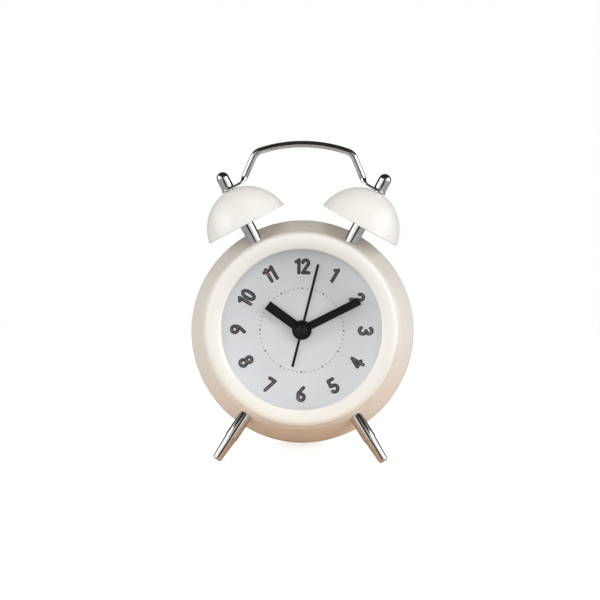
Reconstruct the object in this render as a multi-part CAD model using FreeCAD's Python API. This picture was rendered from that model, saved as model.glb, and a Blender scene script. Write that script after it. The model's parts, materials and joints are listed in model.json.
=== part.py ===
# A small twin-bell alarm clock: a painted drum case on two chrome legs, two bells on chrome posts,
# a wire carrying handle held under the bell nuts, and a quartz alarm movement behind the dial.
#
# The clock is drawn upright and facing -Y: its axis is the Y axis, y = 0 is the front of the bezel,
# x runs to the viewer's right and z runs up. "Depth" always means distance behind the bezel's front.
# Cuts run 1 mm past the faces that they open. At the end every piece is leaned back on its legs and
# set down on z = 0.
import FreeCAD
import Part
import math
import os

V = FreeCAD.Vector
UP = V(0, 0, 1)
REARWARD = V(0, 1, 0)

# Fits between pieces
running_fit = 0.05
loose_fit = 0.2
seat_gap = 0.03
thread_fit = 0.02
wheel_gap = 0.4
join_overlap = 0.1

# Case drum
case_radius = 44.0
case_length = 37.0
case_wall = 0.8
flare_step = 1.0
shoulder_step = 4.4
flare_length = 10.5
flare_blend = 4.5
case_edge_round = 0.4
flare_radius = case_radius - flare_step
shoulder_radius = flare_radius - shoulder_step

# Bezel and lens
bezel_inset = 0.8
bezel_width = 6.4
bezel_depth = 9.0
bezel_outer_round = 2.2
bezel_inner_drop = 1.4
bezel_skirt = 2.2
bezel_tongue = 0.6
bezel_tongue_length = 1.4
lens_lap = 2.1
lens_thickness = 1.2
lens_depth = 4.2
bezel_radius = shoulder_radius - bezel_inset
bezel_opening_radius = bezel_radius - bezel_width
lens_radius = bezel_opening_radius + lens_lap

# Dial and the ring that spaces it from the lens
dial_depth = 12.0
dial_thickness = 1.8
spacer_clearance = 0.1
pillar_radius = 2.4
pillar_margin = 0.5
pillar_angles = (90.0, 190.0, 350.0)

# Back cover, with its recessed floor
cover_rim_inset = 0.6
cover_rim_thickness = 2.0
cover_rim_round = 0.8
cover_rim_width = 2.6
cover_wall = 2.1
cover_floor = 1.6
cover_recess = 8.0
cover_screw_radius = 1.0
cover_screw_head_radius = 2.0
cover_screw_head_height = 1.2
cover_screw_length = 9.0
screw_slot_width = 0.5
screw_slot_depth = 0.5
sound_hole_radius = 0.8
sound_hole_pitch = 3.0
cover_rim_radius = case_radius - cover_rim_inset

# Where the posts and legs stand on the drum's shoulder
mounting_depth = 12.5
mounting_rise = 1.4
mounting_radius = shoulder_radius + mounting_rise

# Bells, posts and domed nuts
bell_angle = 28.2
bell_radius = 16.5
bell_height = 14.9
bell_wall = 0.9
bell_side_slope = 8.5
bell_rim_height = 7.0
post_tilt = 5.0
post_radius = 2.75
stud_radius = 1.5
stud_hole_radius = 1.6
stud_above_strap = 4.2
nut_radius = 2.5
nut_height = 6.8
saddle_nut_flats = 4.4
saddle_nut_drop = 3.5
bell_rim_distance = mounting_radius + bell_rim_height
saddle_nut_reach = mounting_radius - saddle_nut_drop

# Carrying handle
rod_radius = 1.3
handle_rise = 26.1
handle_arch_radius = 54.0
handle_corner_radius = 4.5
handle_leg_angle = 23.0
strap_thickness = 1.0
strap_width = 5.6
strap_length = 6.2
strap_bend_length = 2.2
handle_top = bell_rim_distance + handle_rise

# Legs
leg_angle = 32.75
leg_tilt = 5.0
leg_upper_radius = 2.6
leg_upper_length = 10.6
leg_lower_radius = 2.35
leg_tip_radius = 1.85
leg_lower_length = 10.0
leg_stud_lap = 3.0
leg_shoulder_round = 0.5
leg_tip_round = 0.9
leg_step_distance = mounting_radius + leg_upper_length
leg_tip_distance = leg_step_distance + leg_lower_length

# Movement box
box_half_width = 27.0
box_top = 24.0
box_bottom = -11.0
box_wall = 1.2
box_corner = 2.0
box_inner_corner = 0.3
front_plate_thickness = 1.2
middle_plate_thickness = 1.0
column_inset = 2.6
column_radius = 1.9
column_foot_radius = 2.4
box_screw_radius = 0.8
box_screw_head_radius = 1.5
box_screw_head_height = 1.0
box_screw_bite = 1.0
bush_proud = 0.3

# Wheels: tooth form, thicknesses and centre distances
pressure_angle = 28.0
addendum = 0.8
dedendum = 1.1
tooth_play = 0.14
wheel_thickness = 0.8
pinion_length = 0.9
third_distance = 8.5
motion_distance = 10.2
alarm_distance = 12.0
reduction_distance = 9.0
rotor_distance = 7.0
third_angle = 110.0
motion_angle = 50.0
alarm_angle = 165.0
reduction_angle = 0.0
rotor_angle = 0.0

# Teeth
second_pinion_teeth = 8
third_wheel_teeth = 60
third_pinion_teeth = 8
centre_wheel_teeth = 64
cannon_pinion_teeth = 12
motion_wheel_teeth = 36
motion_pinion_teeth = 10
hour_wheel_teeth = 40
alarm_pinion_teeth = 20
alarm_wheel_teeth = 60
second_wheel_teeth = 60
reduction_pinion_teeth = 12
reduction_wheel_teeth = 48
rotor_pinion_teeth = 8

# Arbors and tubes
arbor_radius = 0.4
tube_wall = 0.5
bush_wall = 0.75
motion_arbor_radius = 1.0
alarm_arbor_radius = 1.2
pivot_length = 0.6

# Hands
hand_thickness = 0.3
hand_spacing = 1.1
second_hand_width = 1.0
second_hand_reach = 26.4
second_hand_tail = 14.9
second_cap_radius = 2.15
second_cap_height = 0.7
minute_hand_width = 3.1
minute_hand_reach = 25.3
minute_hub_radius = 2.95
hour_hand_width = 3.7
hour_hand_reach = 16.6
hour_hub_radius = 3.85
alarm_hand_width = 1.2
alarm_hand_reach = 13.5
alarm_hub_radius = 3.2
hub_height = 0.6

# The leaf that feels the alarm wheel
leaf_thickness = 0.2
leaf_width = 2.0
leaf_beyond = 2.5
leaf_below = 8.0
leaf_left = 4.0
leaf_right = 5.5

# The time shown: hours, minutes and seconds, read from the dial
hour_hand_angle = 305.4
minute_hand_angle = 62.7
second_hand_angle = 13.4

# Motor: rotor, stator, coil
rotor_magnet_radius = 2.6
rotor_magnet_length = 1.6
rotor_air_gap = 0.4
stator_thickness = 1.0
stator_left = 4.6
stator_neck = 1.0
stator_below = 6.0
stator_above = 13.0
stator_leg = 2.4
stator_pin_radius = 0.6
stator_boss_radius = 1.3
stator_boss_inset = 1.8
core_width = 2.0
core_thickness = 1.0
coil_radius = 2.5
bobbin_wall = 0.4
bobbin_flange = 0.6
coil_offset = 6.8

# Circuit board, its parts and the buzzer
board_left = -25.4
board_right = -14.4
board_bottom = -5.0
board_top = 7.5
board_thickness = 1.0
board_boss_margin = 0.6
chip_radius = 2.6
chip_height = 0.9
crystal_radius = 1.0
crystal_length = 6.0
crystal_inset = 0.5
buzzer_x = -16.5
buzzer_z = 14.8
buzzer_radius = 6.8
buzzer_height = 6.5
buzzer_port_radius = 1.4
buzzer_port_depth = 1.0

# Setting knobs
knob_radius = 4.5
knob_height = 5.6
knob_flutes = 18
knob_flute_radius = 0.45
knob_edge_round = 0.6
knob_gap = 0.6
knob_socket = 3.6

# Alarm on-off slide switch
switch_x = 12.0
switch_z = 22.0
switch_travel = 3.5
slider_length = 4.4
slider_width = 3.2
slider_height = 2.2
slider_stem_length = 2.6
slider_stem_width = 2.0
slider_stem_proud = 2.2
switch_wall = 1.0

# Battery, its bay and its door
battery_radius = 7.25
battery_length = 50.5
battery_nub_radius = 2.75
battery_nub_length = 1.3
battery_edge_round = 0.6
battery_z = -20.0
bay_clearance = 0.35
bay_wall = 1.2
contact_thickness = 0.4
contact_width = 9.0
spring_room = 2.0
door_thickness = 1.5
door_gap = 0.2
door_ledge = 0.5
door_notch_radius = 3.0
door_notch_rise = 2.1

# Depths that follow from the sizes above
lens_back = lens_depth + lens_thickness
flange_back = bezel_depth + case_wall
flare_depth = bezel_depth + flare_length
case_back = bezel_depth + case_length
cover_back = case_back + cover_rim_thickness
cover_face = cover_back - cover_recess
cover_inside = cover_face - cover_floor
dial_back = dial_depth + dial_thickness
spacer_radius = bezel_radius - bezel_skirt - spacer_clearance
dial_radius = spacer_radius
flange_opening_radius = bezel_radius - bezel_skirt + bezel_tongue + running_fit

plate_back = dial_back + front_plate_thickness
alarm_layer = plate_back + wheel_gap
hour_layer = alarm_layer + pinion_length + wheel_gap
motion_layer = hour_layer + pinion_length + wheel_gap
middle_front = motion_layer + pinion_length + wheel_gap
middle_back = middle_front + middle_plate_thickness
centre_layer = middle_back + wheel_gap
third_layer = centre_layer + pinion_length + wheel_gap
second_layer = third_layer + pinion_length + wheel_gap
reduction_layer = second_layer + pinion_length + wheel_gap
stator_front = reduction_layer + pinion_length + 1.5 * wheel_gap
core_front = stator_front + stator_thickness
coil_depth = core_front + core_thickness / 2
box_inside = coil_depth + coil_radius + wheel_gap
box_back = box_inside + box_wall

# Tube radii, each clearing the one inside it
minute_bore = arbor_radius + running_fit
minute_tube_radius = minute_bore + tube_wall
hour_bore = minute_tube_radius + running_fit
hour_tube_radius = hour_bore + tube_wall
alarm_bore = hour_tube_radius + running_fit
alarm_tube_radius = alarm_bore + tube_wall
bush_bore = alarm_tube_radius + running_fit
bush_radius = bush_bore + bush_wall

# Depth of each hand's front face, counted forward from the dial
bush_front = dial_depth - bush_proud
alarm_hand_front = bush_front - running_fit * 4 - hand_thickness
hour_hand_front = alarm_hand_front - hand_spacing
minute_hand_front = hour_hand_front - hand_spacing
second_hand_front = minute_hand_front - hand_spacing

# How much the flare widens for each millimetre of depth
flare_tangent = (flare_radius - shoulder_radius) / flare_length

# Modules of the wheel pairs, from their centre distances and teeth
third_module = 2 * third_distance / (second_pinion_teeth + third_wheel_teeth)
centre_module = 2 * third_distance / (third_pinion_teeth + centre_wheel_teeth)
motion_module = 2 * motion_distance / (cannon_pinion_teeth + motion_wheel_teeth)
hour_module = 2 * motion_distance / (motion_pinion_teeth + hour_wheel_teeth)
alarm_module = 2 * alarm_distance / (alarm_pinion_teeth + alarm_wheel_teeth)
second_module = 2 * reduction_distance / (second_wheel_teeth + reduction_pinion_teeth)
rotor_module = 2 * rotor_distance / (reduction_wheel_teeth + rotor_pinion_teeth)


def polar(angle, radius, depth=0.0, centre=(0.0, 0.0)):
    """A point in the plane of the dial, by its angle in degrees from +X towards +Z."""
    turn = math.radians(angle)
    return V(centre[0] + radius * math.cos(turn), depth, centre[1] + radius * math.sin(turn))


def place(angle, radius, centre=(0.0, 0.0)):
    """The x and z of such a point."""
    point = polar(angle, radius, 0.0, centre)
    return (point.x, point.z)


third_place = place(third_angle, third_distance)
motion_place = place(motion_angle, motion_distance)
alarm_place = place(alarm_angle, alarm_distance)
reduction_place = place(reduction_angle, reduction_distance)
rotor_place = place(rotor_angle, rotor_distance, reduction_place)
pillar_distance = dial_radius - pillar_radius - pillar_margin
pillar_places = [place(angle, pillar_distance) for angle in pillar_angles]
column_places = [
    (side * (box_half_width - column_inset), z)
    for side in (-1, 1)
    for z in (box_bottom + column_inset, box_top - column_inset)
]


def turned(start, *steps):
    """A solid turned about Z from a closed outline of (radius, height) points.

    A step is the next corner, or a pair of points: an arc through the first to the second.
    """
    edges = []
    here = V(start[0], 0, start[1])
    home = here
    for step in steps:
        if isinstance(step[0], tuple):
            through = V(step[0][0], 0, step[0][1])
            there = V(step[1][0], 0, step[1][1])
            edges.append(Part.Arc(here, through, there).toShape())
        else:
            there = V(step[0], 0, step[1])
            edges.append(Part.makeLine(here, there))
        here = there
    if here.distanceToPoint(home) > 1e-6:
        edges.append(Part.makeLine(here, home))
    return Part.Face(Part.Wire(edges)).revolve(V(0, 0, 0), UP, 360)


def round_corner(corner, radius, out_r, out_h):
    """An arc step over a square corner of an outline turned about Z.

    The corner is cut by a quarter round that bulges towards (out_r, out_h), each +1 or -1, and runs
    from the face whose normal is along the height to the face whose normal is along the radius.
    """
    share = radius * (1 - math.sqrt(0.5))
    through = (corner[0] - out_r * share, corner[1] - out_h * share)
    end = (corner[0], corner[1] - out_h * radius)
    return (through, end)


def cap_step(radius, height, start=0.0):
    """An outline's arc over a shallow cap: from its edge at the start height, in to its top on the axis."""
    sphere = (radius**2 + height**2) / (2 * height)
    half_turn = math.asin(radius / sphere) / 2
    through = (sphere * math.sin(half_turn), start + height - sphere * (1 - math.cos(half_turn)))
    return (through, (0, start + height))


def aim(shape, origin, direction):
    """The shape with its +Z turned to the given direction and its origin moved to the given point."""
    aimed = shape.copy()
    aimed.Placement = FreeCAD.Placement(origin, FreeCAD.Rotation(UP, direction))
    return aimed


def behind(shape, centre=(0.0, 0.0)):
    """A shape built along Z, laid along the depth at the given x and z, so its height is depth."""
    return aim(shape, V(centre[0], 0, centre[1]), REARWARD)


def rod(radius, depth_from, depth_to, centre=(0.0, 0.0)):
    """A round bar along the depth."""
    return Part.makeCylinder(radius, depth_to - depth_from, V(centre[0], depth_from, centre[1]), REARWARD)


def ring(outer, inner, depth_from, depth_to, centre=(0.0, 0.0)):
    """A plain ring along the depth."""
    return rod(outer, depth_from, depth_to, centre).cut(rod(inner, depth_from - 1, depth_to + 1, centre))


def block(x, depth, z):
    """A box between pairs of limits."""
    return Part.makeBox(x[1] - x[0], depth[1] - depth[0], z[1] - z[0], V(x[0], depth[0], z[0]))


def prism(points, depth_from, depth_to):
    """A plate with the outline of (x, z) points, between two depths."""
    corners = [V(x, depth_from, z) for x, z in points]
    face = Part.Face(Part.makePolygon(corners + corners[:1]))
    return face.extrude(V(0, depth_to - depth_from, 0))


def rounded_block(x, depth, z, radius):
    """A box whose four edges along the depth are rounded."""
    box = block(x, depth, z)
    edges = [e for e in box.Edges if abs(e.tangentAt(e.FirstParameter).y) > 0.99]
    return box.makeFillet(radius, edges)


def joined(first, *others):
    """One solid from pieces that are moulded or turned as one."""
    return first.multiFuse(list(others)).removeSplitter()


def involute(angle):
    """The involute function of an angle in radians."""
    return math.tan(angle) - angle


def gear(module, teeth, depth_from, thickness, centre, turn):
    """A spur gear along the depth, with the middle of one tooth at the angle turn, in radians."""
    pressure = math.radians(pressure_angle)
    pitch_radius = module * teeth / 2
    base_radius = pitch_radius * math.cos(pressure)
    tip_radius = pitch_radius + addendum * module
    root_radius = pitch_radius - dedendum * module
    half_at_pitch = (math.pi / 2 - tooth_play) / teeth

    def half_tooth(radius):
        roll = math.acos(min(1.0, base_radius / radius))
        return half_at_pitch + involute(pressure) - involute(roll)

    start = max(root_radius, base_radius)
    flank = [(root_radius, half_tooth(start))] if root_radius < base_radius else []
    flank += [(radius, half_tooth(radius)) for radius in (start, pitch_radius, tip_radius)]
    points = []
    for tooth in range(teeth):
        middle = turn + 2 * math.pi * tooth / teeth
        sides = [(r, middle - a) for r, a in flank] + [(r, middle + a) for r, a in reversed(flank)]
        points += [(centre[0] + r * math.cos(a), centre[1] + r * math.sin(a)) for r, a in sides]
    return prism(points, depth_from, depth_from + thickness)


def meshed(turn, teeth, place_from, place_to, other_teeth):
    """The turn of a gear that meshes with one of the given turn and teeth."""
    line = math.atan2(place_to[1] - place_from[1], place_to[0] - place_from[0])
    return line + math.pi - (turn - line) * teeth / other_teeth - math.pi / other_teeth


# Turns of the gears, so that every pair stands in mesh at rest
axis_place = (0.0, 0.0)
second_turn = 0.0
third_turn = meshed(second_turn, second_pinion_teeth, axis_place, third_place, third_wheel_teeth)
centre_turn = meshed(third_turn, third_pinion_teeth, third_place, axis_place, centre_wheel_teeth)
motion_turn = meshed(centre_turn, cannon_pinion_teeth, axis_place, motion_place, motion_wheel_teeth)
hour_turn = meshed(motion_turn, motion_pinion_teeth, motion_place, axis_place, hour_wheel_teeth)
reduction_turn = meshed(second_turn, second_wheel_teeth, axis_place, reduction_place, reduction_pinion_teeth)
rotor_turn = meshed(reduction_turn, reduction_wheel_teeth, reduction_place, rotor_place, rotor_pinion_teeth)
alarm_turn = 0.0
alarm_wheel_turn = meshed(alarm_turn, alarm_pinion_teeth, alarm_place, axis_place, alarm_wheel_teeth)


def drum_outline(inset, front, back):
    """The solid of revolution inside the drum's outer surface, shrunk by an inset, between two depths.

    A straight flare meets an arc that runs tangent into the barrel. The inset moves both inwards.
    """
    rise = case_radius - flare_radius
    blend_radius = (rise**2 + flare_blend**2) / (2 * rise)
    centre = (case_radius - blend_radius, flare_depth + flare_blend)
    turn = math.asin(flare_blend / blend_radius)
    reach = blend_radius - inset
    slope_end = (centre[0] + reach * math.cos(turn), centre[1] - reach * math.sin(turn))
    middle = (centre[0] + reach * math.cos(turn / 2), centre[1] - reach * math.sin(turn / 2))
    slope_start = (slope_end[0] - flare_tangent * (slope_end[1] - front), front)
    return turned(
        (0, front),
        slope_start,
        slope_end,
        (middle, (case_radius - inset, centre[1])),
        (case_radius - inset, back),
        (0, back),
    )


def case_shell():
    """The pressed drum: a front flange that carries the bezel, a flared shoulder and a straight barrel."""
    outside = behind(drum_outline(0.0, bezel_depth, case_back))
    rear_edges = [e for e in outside.Edges if abs(e.BoundBox.YMin - case_back) < 1e-4]
    outside = outside.makeFillet(case_edge_round, rear_edges)
    inside = behind(drum_outline(case_wall, flange_back, case_back + 1))
    shell = outside.cut(inside)
    shell = shell.cut(rod(flange_opening_radius, bezel_depth - 1, flange_back + 1))
    for angle, lean in mountings():
        shell = shell.cut(lean(radial_rod(stud_hole_radius, angle, saddle_nut_reach, case_radius)))
    return shell


def mountings():
    """The two posts and the two legs: each one's angle from +X towards +Z, and how it is tilted."""
    posts = [(90 + side * bell_angle, tilt_top) for side in (-1, 1)]
    legs = [(270 + side * leg_angle, tilt_leg) for side in (-1, 1)]
    return posts + legs


def tilted(shape, angle, height):
    """The shape turned about the left-right line through the mountings at the given height."""
    turned_shape = shape.copy()
    turned_shape.rotate(V(0, mounting_depth, height), V(1, 0, 0), angle)
    return turned_shape


def tilt_top(shape):
    """A piece of the bells' group, tilted forward with its posts."""
    return tilted(shape, post_tilt, mounting_radius * math.cos(math.radians(bell_angle)))


def tilt_leg(shape):
    """A leg or its fixing, tilted forward."""
    return tilted(shape, -leg_tilt, -mounting_radius * math.cos(math.radians(leg_angle)))


def radial_rod(radius, angle, start, end):
    """A round bar that points away from the clock's axis, in the plane of the posts and legs."""
    return Part.makeCylinder(radius, end - start, polar(angle, start, mounting_depth), polar(angle, 1))


def bezel_ring():
    """The rounded moulding round the lens, with the seat that holds the lens and a tongue into the case."""
    crest_radius = bezel_radius - bezel_outer_round
    span = crest_radius - bezel_opening_radius
    sweep_radius = (span**2 + bezel_inner_drop**2) / (2 * bezel_inner_drop)
    half_turn = math.asin(span / sweep_radius) / 2
    sweep_middle = (
        crest_radius - sweep_radius * math.sin(half_turn),
        sweep_radius * (1 - math.cos(half_turn)),
    )
    inner_skirt = bezel_radius - bezel_skirt
    pocket_radius = lens_radius + 2 * running_fit
    tongue_back = bezel_depth + bezel_tongue_length
    return behind(
        turned(
            (bezel_opening_radius, bezel_inner_drop),
            (sweep_middle, (crest_radius, 0.0)),
            round_corner((bezel_radius, 0.0), bezel_outer_round, 1, -1),
            (bezel_radius, bezel_depth),
            (inner_skirt + bezel_tongue, bezel_depth),
            (inner_skirt + bezel_tongue, tongue_back),
            (inner_skirt, tongue_back),
            (inner_skirt, lens_back),
            (pocket_radius, lens_back),
            (pocket_radius, lens_depth),
            (bezel_opening_radius, lens_depth),
        )
    )


def lens():
    """The flat clear lens."""
    return rod(lens_radius, lens_depth, lens_back)


def dial_spacer_ring():
    """The ring between the lens and the dial, which shows as the dial's inner wall."""
    return ring(spacer_radius, bezel_opening_radius, lens_back, dial_depth)


def dial_plate():
    """The dial, moulded with the pillars that carry the back cover."""
    plate = rod(dial_radius, dial_depth, dial_back)
    pillars = [rod(pillar_radius, dial_back, cover_inside, where) for where in pillar_places]
    plate = joined(plate, *pillars)
    plate = plate.cut(rod(bush_radius + running_fit, dial_depth - 1, dial_back + 1))
    for where in pillar_places:
        bore_start = cover_face - cover_screw_length
        plate = plate.cut(rod(cover_screw_radius + thread_fit, bore_start, cover_inside + 1, where))
    for where in column_places:
        bite = dial_back - box_screw_bite - running_fit
        plate = plate.cut(rod(box_screw_radius + thread_fit, bite, dial_back + 1, where))
    return plate


def bay_half_length():
    """Half the inside length of the battery bay."""
    return (battery_length + contact_thickness + spring_room) / 2 + running_fit


def battery_depth():
    """The depth of the battery's axis."""
    return cover_face - door_thickness - bay_clearance - battery_radius


def door_half_sizes():
    """Half the length and height of the battery door."""
    return (bay_half_length() + door_ledge, battery_radius + bay_clearance + door_ledge)


def back_cover():
    """The rear cover: a rim on the case's edge, a recessed floor, and the moulded battery bay."""
    spigot = case_radius - case_wall - loose_fit
    rim_inner = cover_rim_radius - cover_rim_width
    body = turned(
        (0, cover_inside),
        (spigot, cover_inside),
        (spigot, case_back),
        (cover_rim_radius, case_back),
        (cover_rim_radius, cover_back - cover_rim_round),
        round_rear_rim(),
        (rim_inner, cover_back),
        (spigot - cover_wall, cover_back - cover_rim_thickness),
        (spigot - cover_wall, cover_face),
        (0, cover_face),
    )
    cover = behind(body)
    half_length = bay_half_length()
    half_height = battery_radius + bay_clearance
    bay_front = battery_depth() - battery_radius - bay_clearance
    outer = block(
        (-half_length - bay_wall, half_length + bay_wall),
        (bay_front - bay_wall, cover_inside),
        (battery_z - half_height - bay_wall, battery_z + half_height + bay_wall),
    )
    cover = joined(cover, outer)
    inner = block(
        (-half_length, half_length),
        (bay_front, cover_face + 1),
        (battery_z - half_height, battery_z + half_height),
    )
    cover = cover.cut(inner)
    door_x, door_z = door_half_sizes()
    seat = block(
        (-door_x - door_gap, door_x + door_gap),
        (cover_face - door_thickness, cover_face + 1),
        (battery_z - door_z - door_gap, battery_z + door_z + door_gap),
    )
    cover = cover.cut(seat)
    for where in pillar_places:
        cover = cover.cut(rod(cover_screw_radius + loose_fit, cover_inside - 1, cover_face + 1, where))
    for radius, where in ((motion_arbor_radius, motion_place), (alarm_arbor_radius, alarm_place)):
        cover = cover.cut(rod(radius + loose_fit, cover_inside - 1, cover_face + 1, where))
    for hole in sound_holes():
        cover = cover.cut(hole)
    slot_half = slider_stem_length / 2 + loose_fit
    slot = block(
        (switch_x - switch_travel / 2 - slot_half, switch_x + switch_travel / 2 + slot_half),
        (cover_inside - 1, cover_face + 1),
        (switch_z - slider_stem_width / 2 - loose_fit, switch_z + slider_stem_width / 2 + loose_fit),
    )
    return cover.cut(slot)


def round_rear_rim():
    """The arc over the outer corner of the back cover's rim."""
    share = cover_rim_round * (1 - math.sqrt(0.5))
    through = (cover_rim_radius - share, cover_back - share)
    return (through, (cover_rim_radius - cover_rim_round, cover_back))


def sound_holes():
    """One hole with six round it, in front of the buzzer's port."""
    centres = [(buzzer_x, buzzer_z)]
    centres += [place(60 * step, sound_hole_pitch, (buzzer_x, buzzer_z)) for step in range(6)]
    return [rod(sound_hole_radius, cover_inside - 1, cover_face + 1, where) for where in centres]


def slotted_screw(head_radius, head_height, shank_radius, head_front, shank_front, centre):
    """A screw driven from behind: its head, its shank running forward and the slot across its head."""
    head = rod(head_radius, head_front, head_front + head_height, centre)
    screw = joined(head, rod(shank_radius, shank_front, head_front + join_overlap, centre))
    slot = block(
        (centre[0] - head_radius - 1, centre[0] + head_radius + 1),
        (head_front + head_height - screw_slot_depth, head_front + head_height + 1),
        (centre[1] - screw_slot_width / 2, centre[1] + screw_slot_width / 2),
    )
    return screw.cut(slot)


def back_cover_screws():
    """The screws through the back cover into the dial's pillars."""
    reach = cover_face - cover_screw_length + running_fit
    return Part.makeCompound(
        [
            slotted_screw(
                cover_screw_head_radius,
                cover_screw_head_height,
                cover_screw_radius,
                cover_face,
                reach,
                where,
            )
            for where in pillar_places
        ]
    )


def battery_door():
    """The lid over the battery, flush with the cover's floor, with a notch for a fingernail."""
    door_x, door_z = door_half_sizes()
    door = block(
        (-door_x, door_x),
        (cover_face - door_thickness, cover_face),
        (battery_z - door_z, battery_z + door_z),
    )
    notch = Part.makeSphere(door_notch_radius, V(0, cover_face + door_notch_rise, battery_z + door_z))
    return door.cut(notch)


def bell_profile(inset):
    """An ellipse that starts at the rim with the side's slope and ends level at the top.

    Gives the ellipse's centre height below the rim plane and its two half-axes, less the inset.
    """
    slope = math.tan(math.radians(bell_side_slope))
    below = slope * bell_height**2 / (bell_radius - 2 * slope * bell_height)
    tall = bell_height + below
    wide = bell_radius / math.sqrt(1 - (below / tall) ** 2)
    return (below, wide - inset, tall - inset)


def dome(inset, floor):
    """The solid inside a bell's surface, shrunk by an inset, above a floor height."""
    below, wide, tall = bell_profile(inset)
    start_angle = math.degrees(math.asin((floor + below) / tall))
    circle = Part.makeCircle(1, V(0, 0, 0), V(0, -1, 0), start_angle, 90)
    stretch = FreeCAD.Matrix()
    stretch.scale(V(wide, 1, tall))
    stretch.move(V(0, 0, -below))
    side = circle.transformGeometry(stretch)
    rim = V(wide * math.cos(math.radians(start_angle)), 0, floor)
    top = V(0, 0, tall - below)
    edges = [side, Part.makeLine(top, V(0, 0, floor)), Part.makeLine(V(0, 0, floor), rim)]
    return Part.Face(Part.Wire(Part.__sortEdges__(edges))).revolve(V(0, 0, 0), UP, 360)


def bell(side):
    """A pressed bell, rim towards the case."""
    angle = 90 - side * bell_angle
    shell = dome(0.0, 0.0).cut(dome(bell_wall, -1.0))
    shell = shell.cut(Part.makeCylinder(stud_hole_radius, bell_height * 2))
    return tilt_top(aim(shell, polar(angle, bell_rim_distance, mounting_depth), polar(angle, 1)))


def post_end():
    """The distance from the clock's axis at which a post's shoulder meets the inside of its bell."""
    below, wide, tall = bell_profile(bell_wall)
    return bell_rim_distance + tall * math.sqrt(1 - (post_radius / wide) ** 2) - below - seat_gap


def strap_seat():
    """The distance from the clock's axis to the underside of the handle's strap, on the bell's top."""
    return bell_rim_distance + bell_height + seat_gap


def nut_seat():
    """The distance from the clock's axis to the foot of the domed nut, on the strap."""
    return strap_seat() + strap_thickness + seat_gap


def outside_case(shape):
    """What is left of a shape outside the drum, with the seat's gap."""
    return shape.cut(behind(drum_outline(-seat_gap, bezel_depth - 1, case_back)))


def bell_post(side):
    """A post seated on the drum, with a stud through the drum's wall and one up through the bell."""
    angle = 90 - side * bell_angle
    body = outside_case(tilt_top(radial_rod(post_radius, angle, shoulder_radius - 1, post_end())))
    stud = tilt_top(radial_rod(stud_radius, angle, saddle_nut_reach, nut_seat() + stud_above_strap))
    return joined(body, stud)


def bell_nut(side):
    """The domed nut over the handle's strap."""
    angle = 90 - side * bell_angle
    straight = nut_height - nut_radius
    nut = turned((0, 0), (nut_radius, 0), (nut_radius, straight), cap_step(nut_radius, nut_radius, straight))
    nut = nut.cut(Part.makeCylinder(stud_radius + thread_fit, stud_above_strap + loose_fit))
    return tilt_top(aim(nut, polar(angle, nut_seat(), mounting_depth), polar(angle, 1)))


def handle_points():
    """The handle's right half, as (x, z) points: leg foot, corner start, middle and end, and arch top.

    The leg rises from the inner end of the strap, and a corner bend of its own radius joins it to
    the arch, which is a circle about a point on the clock's centre line.
    """
    turn = math.radians(90 - bell_angle)
    lean = math.radians(handle_leg_angle)
    lift = strap_seat() + strap_thickness / 2
    strap_end = (
        lift * math.cos(turn) - strap_length * math.sin(turn),
        lift * math.sin(turn) + strap_length * math.cos(turn),
    )
    foot = (
        strap_end[0] - strap_bend_length * math.sin(lean),
        strap_end[1] + strap_bend_length * math.cos(lean),
    )
    arch_centre = handle_top - handle_arch_radius
    bend_orbit = handle_arch_radius - handle_corner_radius
    inward = (-math.cos(lean), -math.sin(lean))
    start = (
        foot[0] + handle_corner_radius * inward[0],
        foot[1] + handle_corner_radius * inward[1] - arch_centre,
    )
    along = (-math.sin(lean), math.cos(lean))
    half = start[0] * along[0] + start[1] * along[1]
    length = -half + math.sqrt(half**2 - start[0] ** 2 - start[1] ** 2 + bend_orbit**2)
    bend = (start[0] + length * along[0], start[1] + length * along[1] + arch_centre)
    corner_start = (bend[0] - handle_corner_radius * inward[0], bend[1] - handle_corner_radius * inward[1])
    out = math.atan2(bend[1] - arch_centre, bend[0])
    corner_end = (handle_arch_radius * math.cos(out), arch_centre + handle_arch_radius * math.sin(out))
    middle_turn = (math.atan2(-inward[1], -inward[0]) + out) / 2
    corner_middle = (
        bend[0] + handle_corner_radius * math.cos(middle_turn),
        bend[1] + handle_corner_radius * math.sin(middle_turn),
    )
    return (foot, corner_start, corner_middle, corner_end, (0.0, handle_top), strap_end)


def handle():
    """The wire carrying handle, flattened at both ends into straps that lie on the bells."""

    def spot(point, side=1):
        return V(side * point[0], mounting_depth, point[1])

    foot, corner_start, corner_middle, corner_end, top, strap_end = handle_points()
    path = [
        Part.makeLine(spot(foot), spot(corner_start)),
        Part.Arc(spot(corner_start), spot(corner_middle), spot(corner_end)).toShape(),
        Part.Arc(spot(corner_end), spot(top), spot(corner_end, -1)).toShape(),
        Part.Arc(spot(corner_end, -1), spot(corner_middle, -1), spot(corner_start, -1)).toShape(),
        Part.makeLine(spot(corner_start, -1), spot(foot, -1)),
    ]
    leg_direction = spot(corner_start) - spot(foot)
    section = Part.Wire(Part.makeCircle(rod_radius, spot(foot), leg_direction))
    wire = Part.Wire(path).makePipeShell([section], True, True)
    pieces = [wire]
    for side in (1, -1):
        turn = 90 - side * bell_angle
        outward = polar(turn, 1)
        strap_direction = polar(turn - side * 90, 1)
        down_leg = spot(foot, side) - spot(corner_start, side)
        rounds = Part.Wire(Part.makeCircle(rod_radius, spot(foot, side), down_leg))
        flat = flat_section(spot(strap_end, side), outward)
        pieces.append(Part.makeLoft([rounds, flat], True, False))
        pieces.append(strap(side, outward, strap_direction))
    return tilt_top(joined(*pieces))


def flat_section(centre, thin):
    """The flattened end of the rod: an ellipse as wide as the strap, thin in the given direction."""
    wide_end = centre + REARWARD * (strap_width / 2 - seat_gap)
    thin_end = centre + thin * (strap_thickness / 2)
    ellipse = Part.Ellipse(wide_end, thin_end, centre)
    return Part.Wire(ellipse.toShape())


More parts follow.
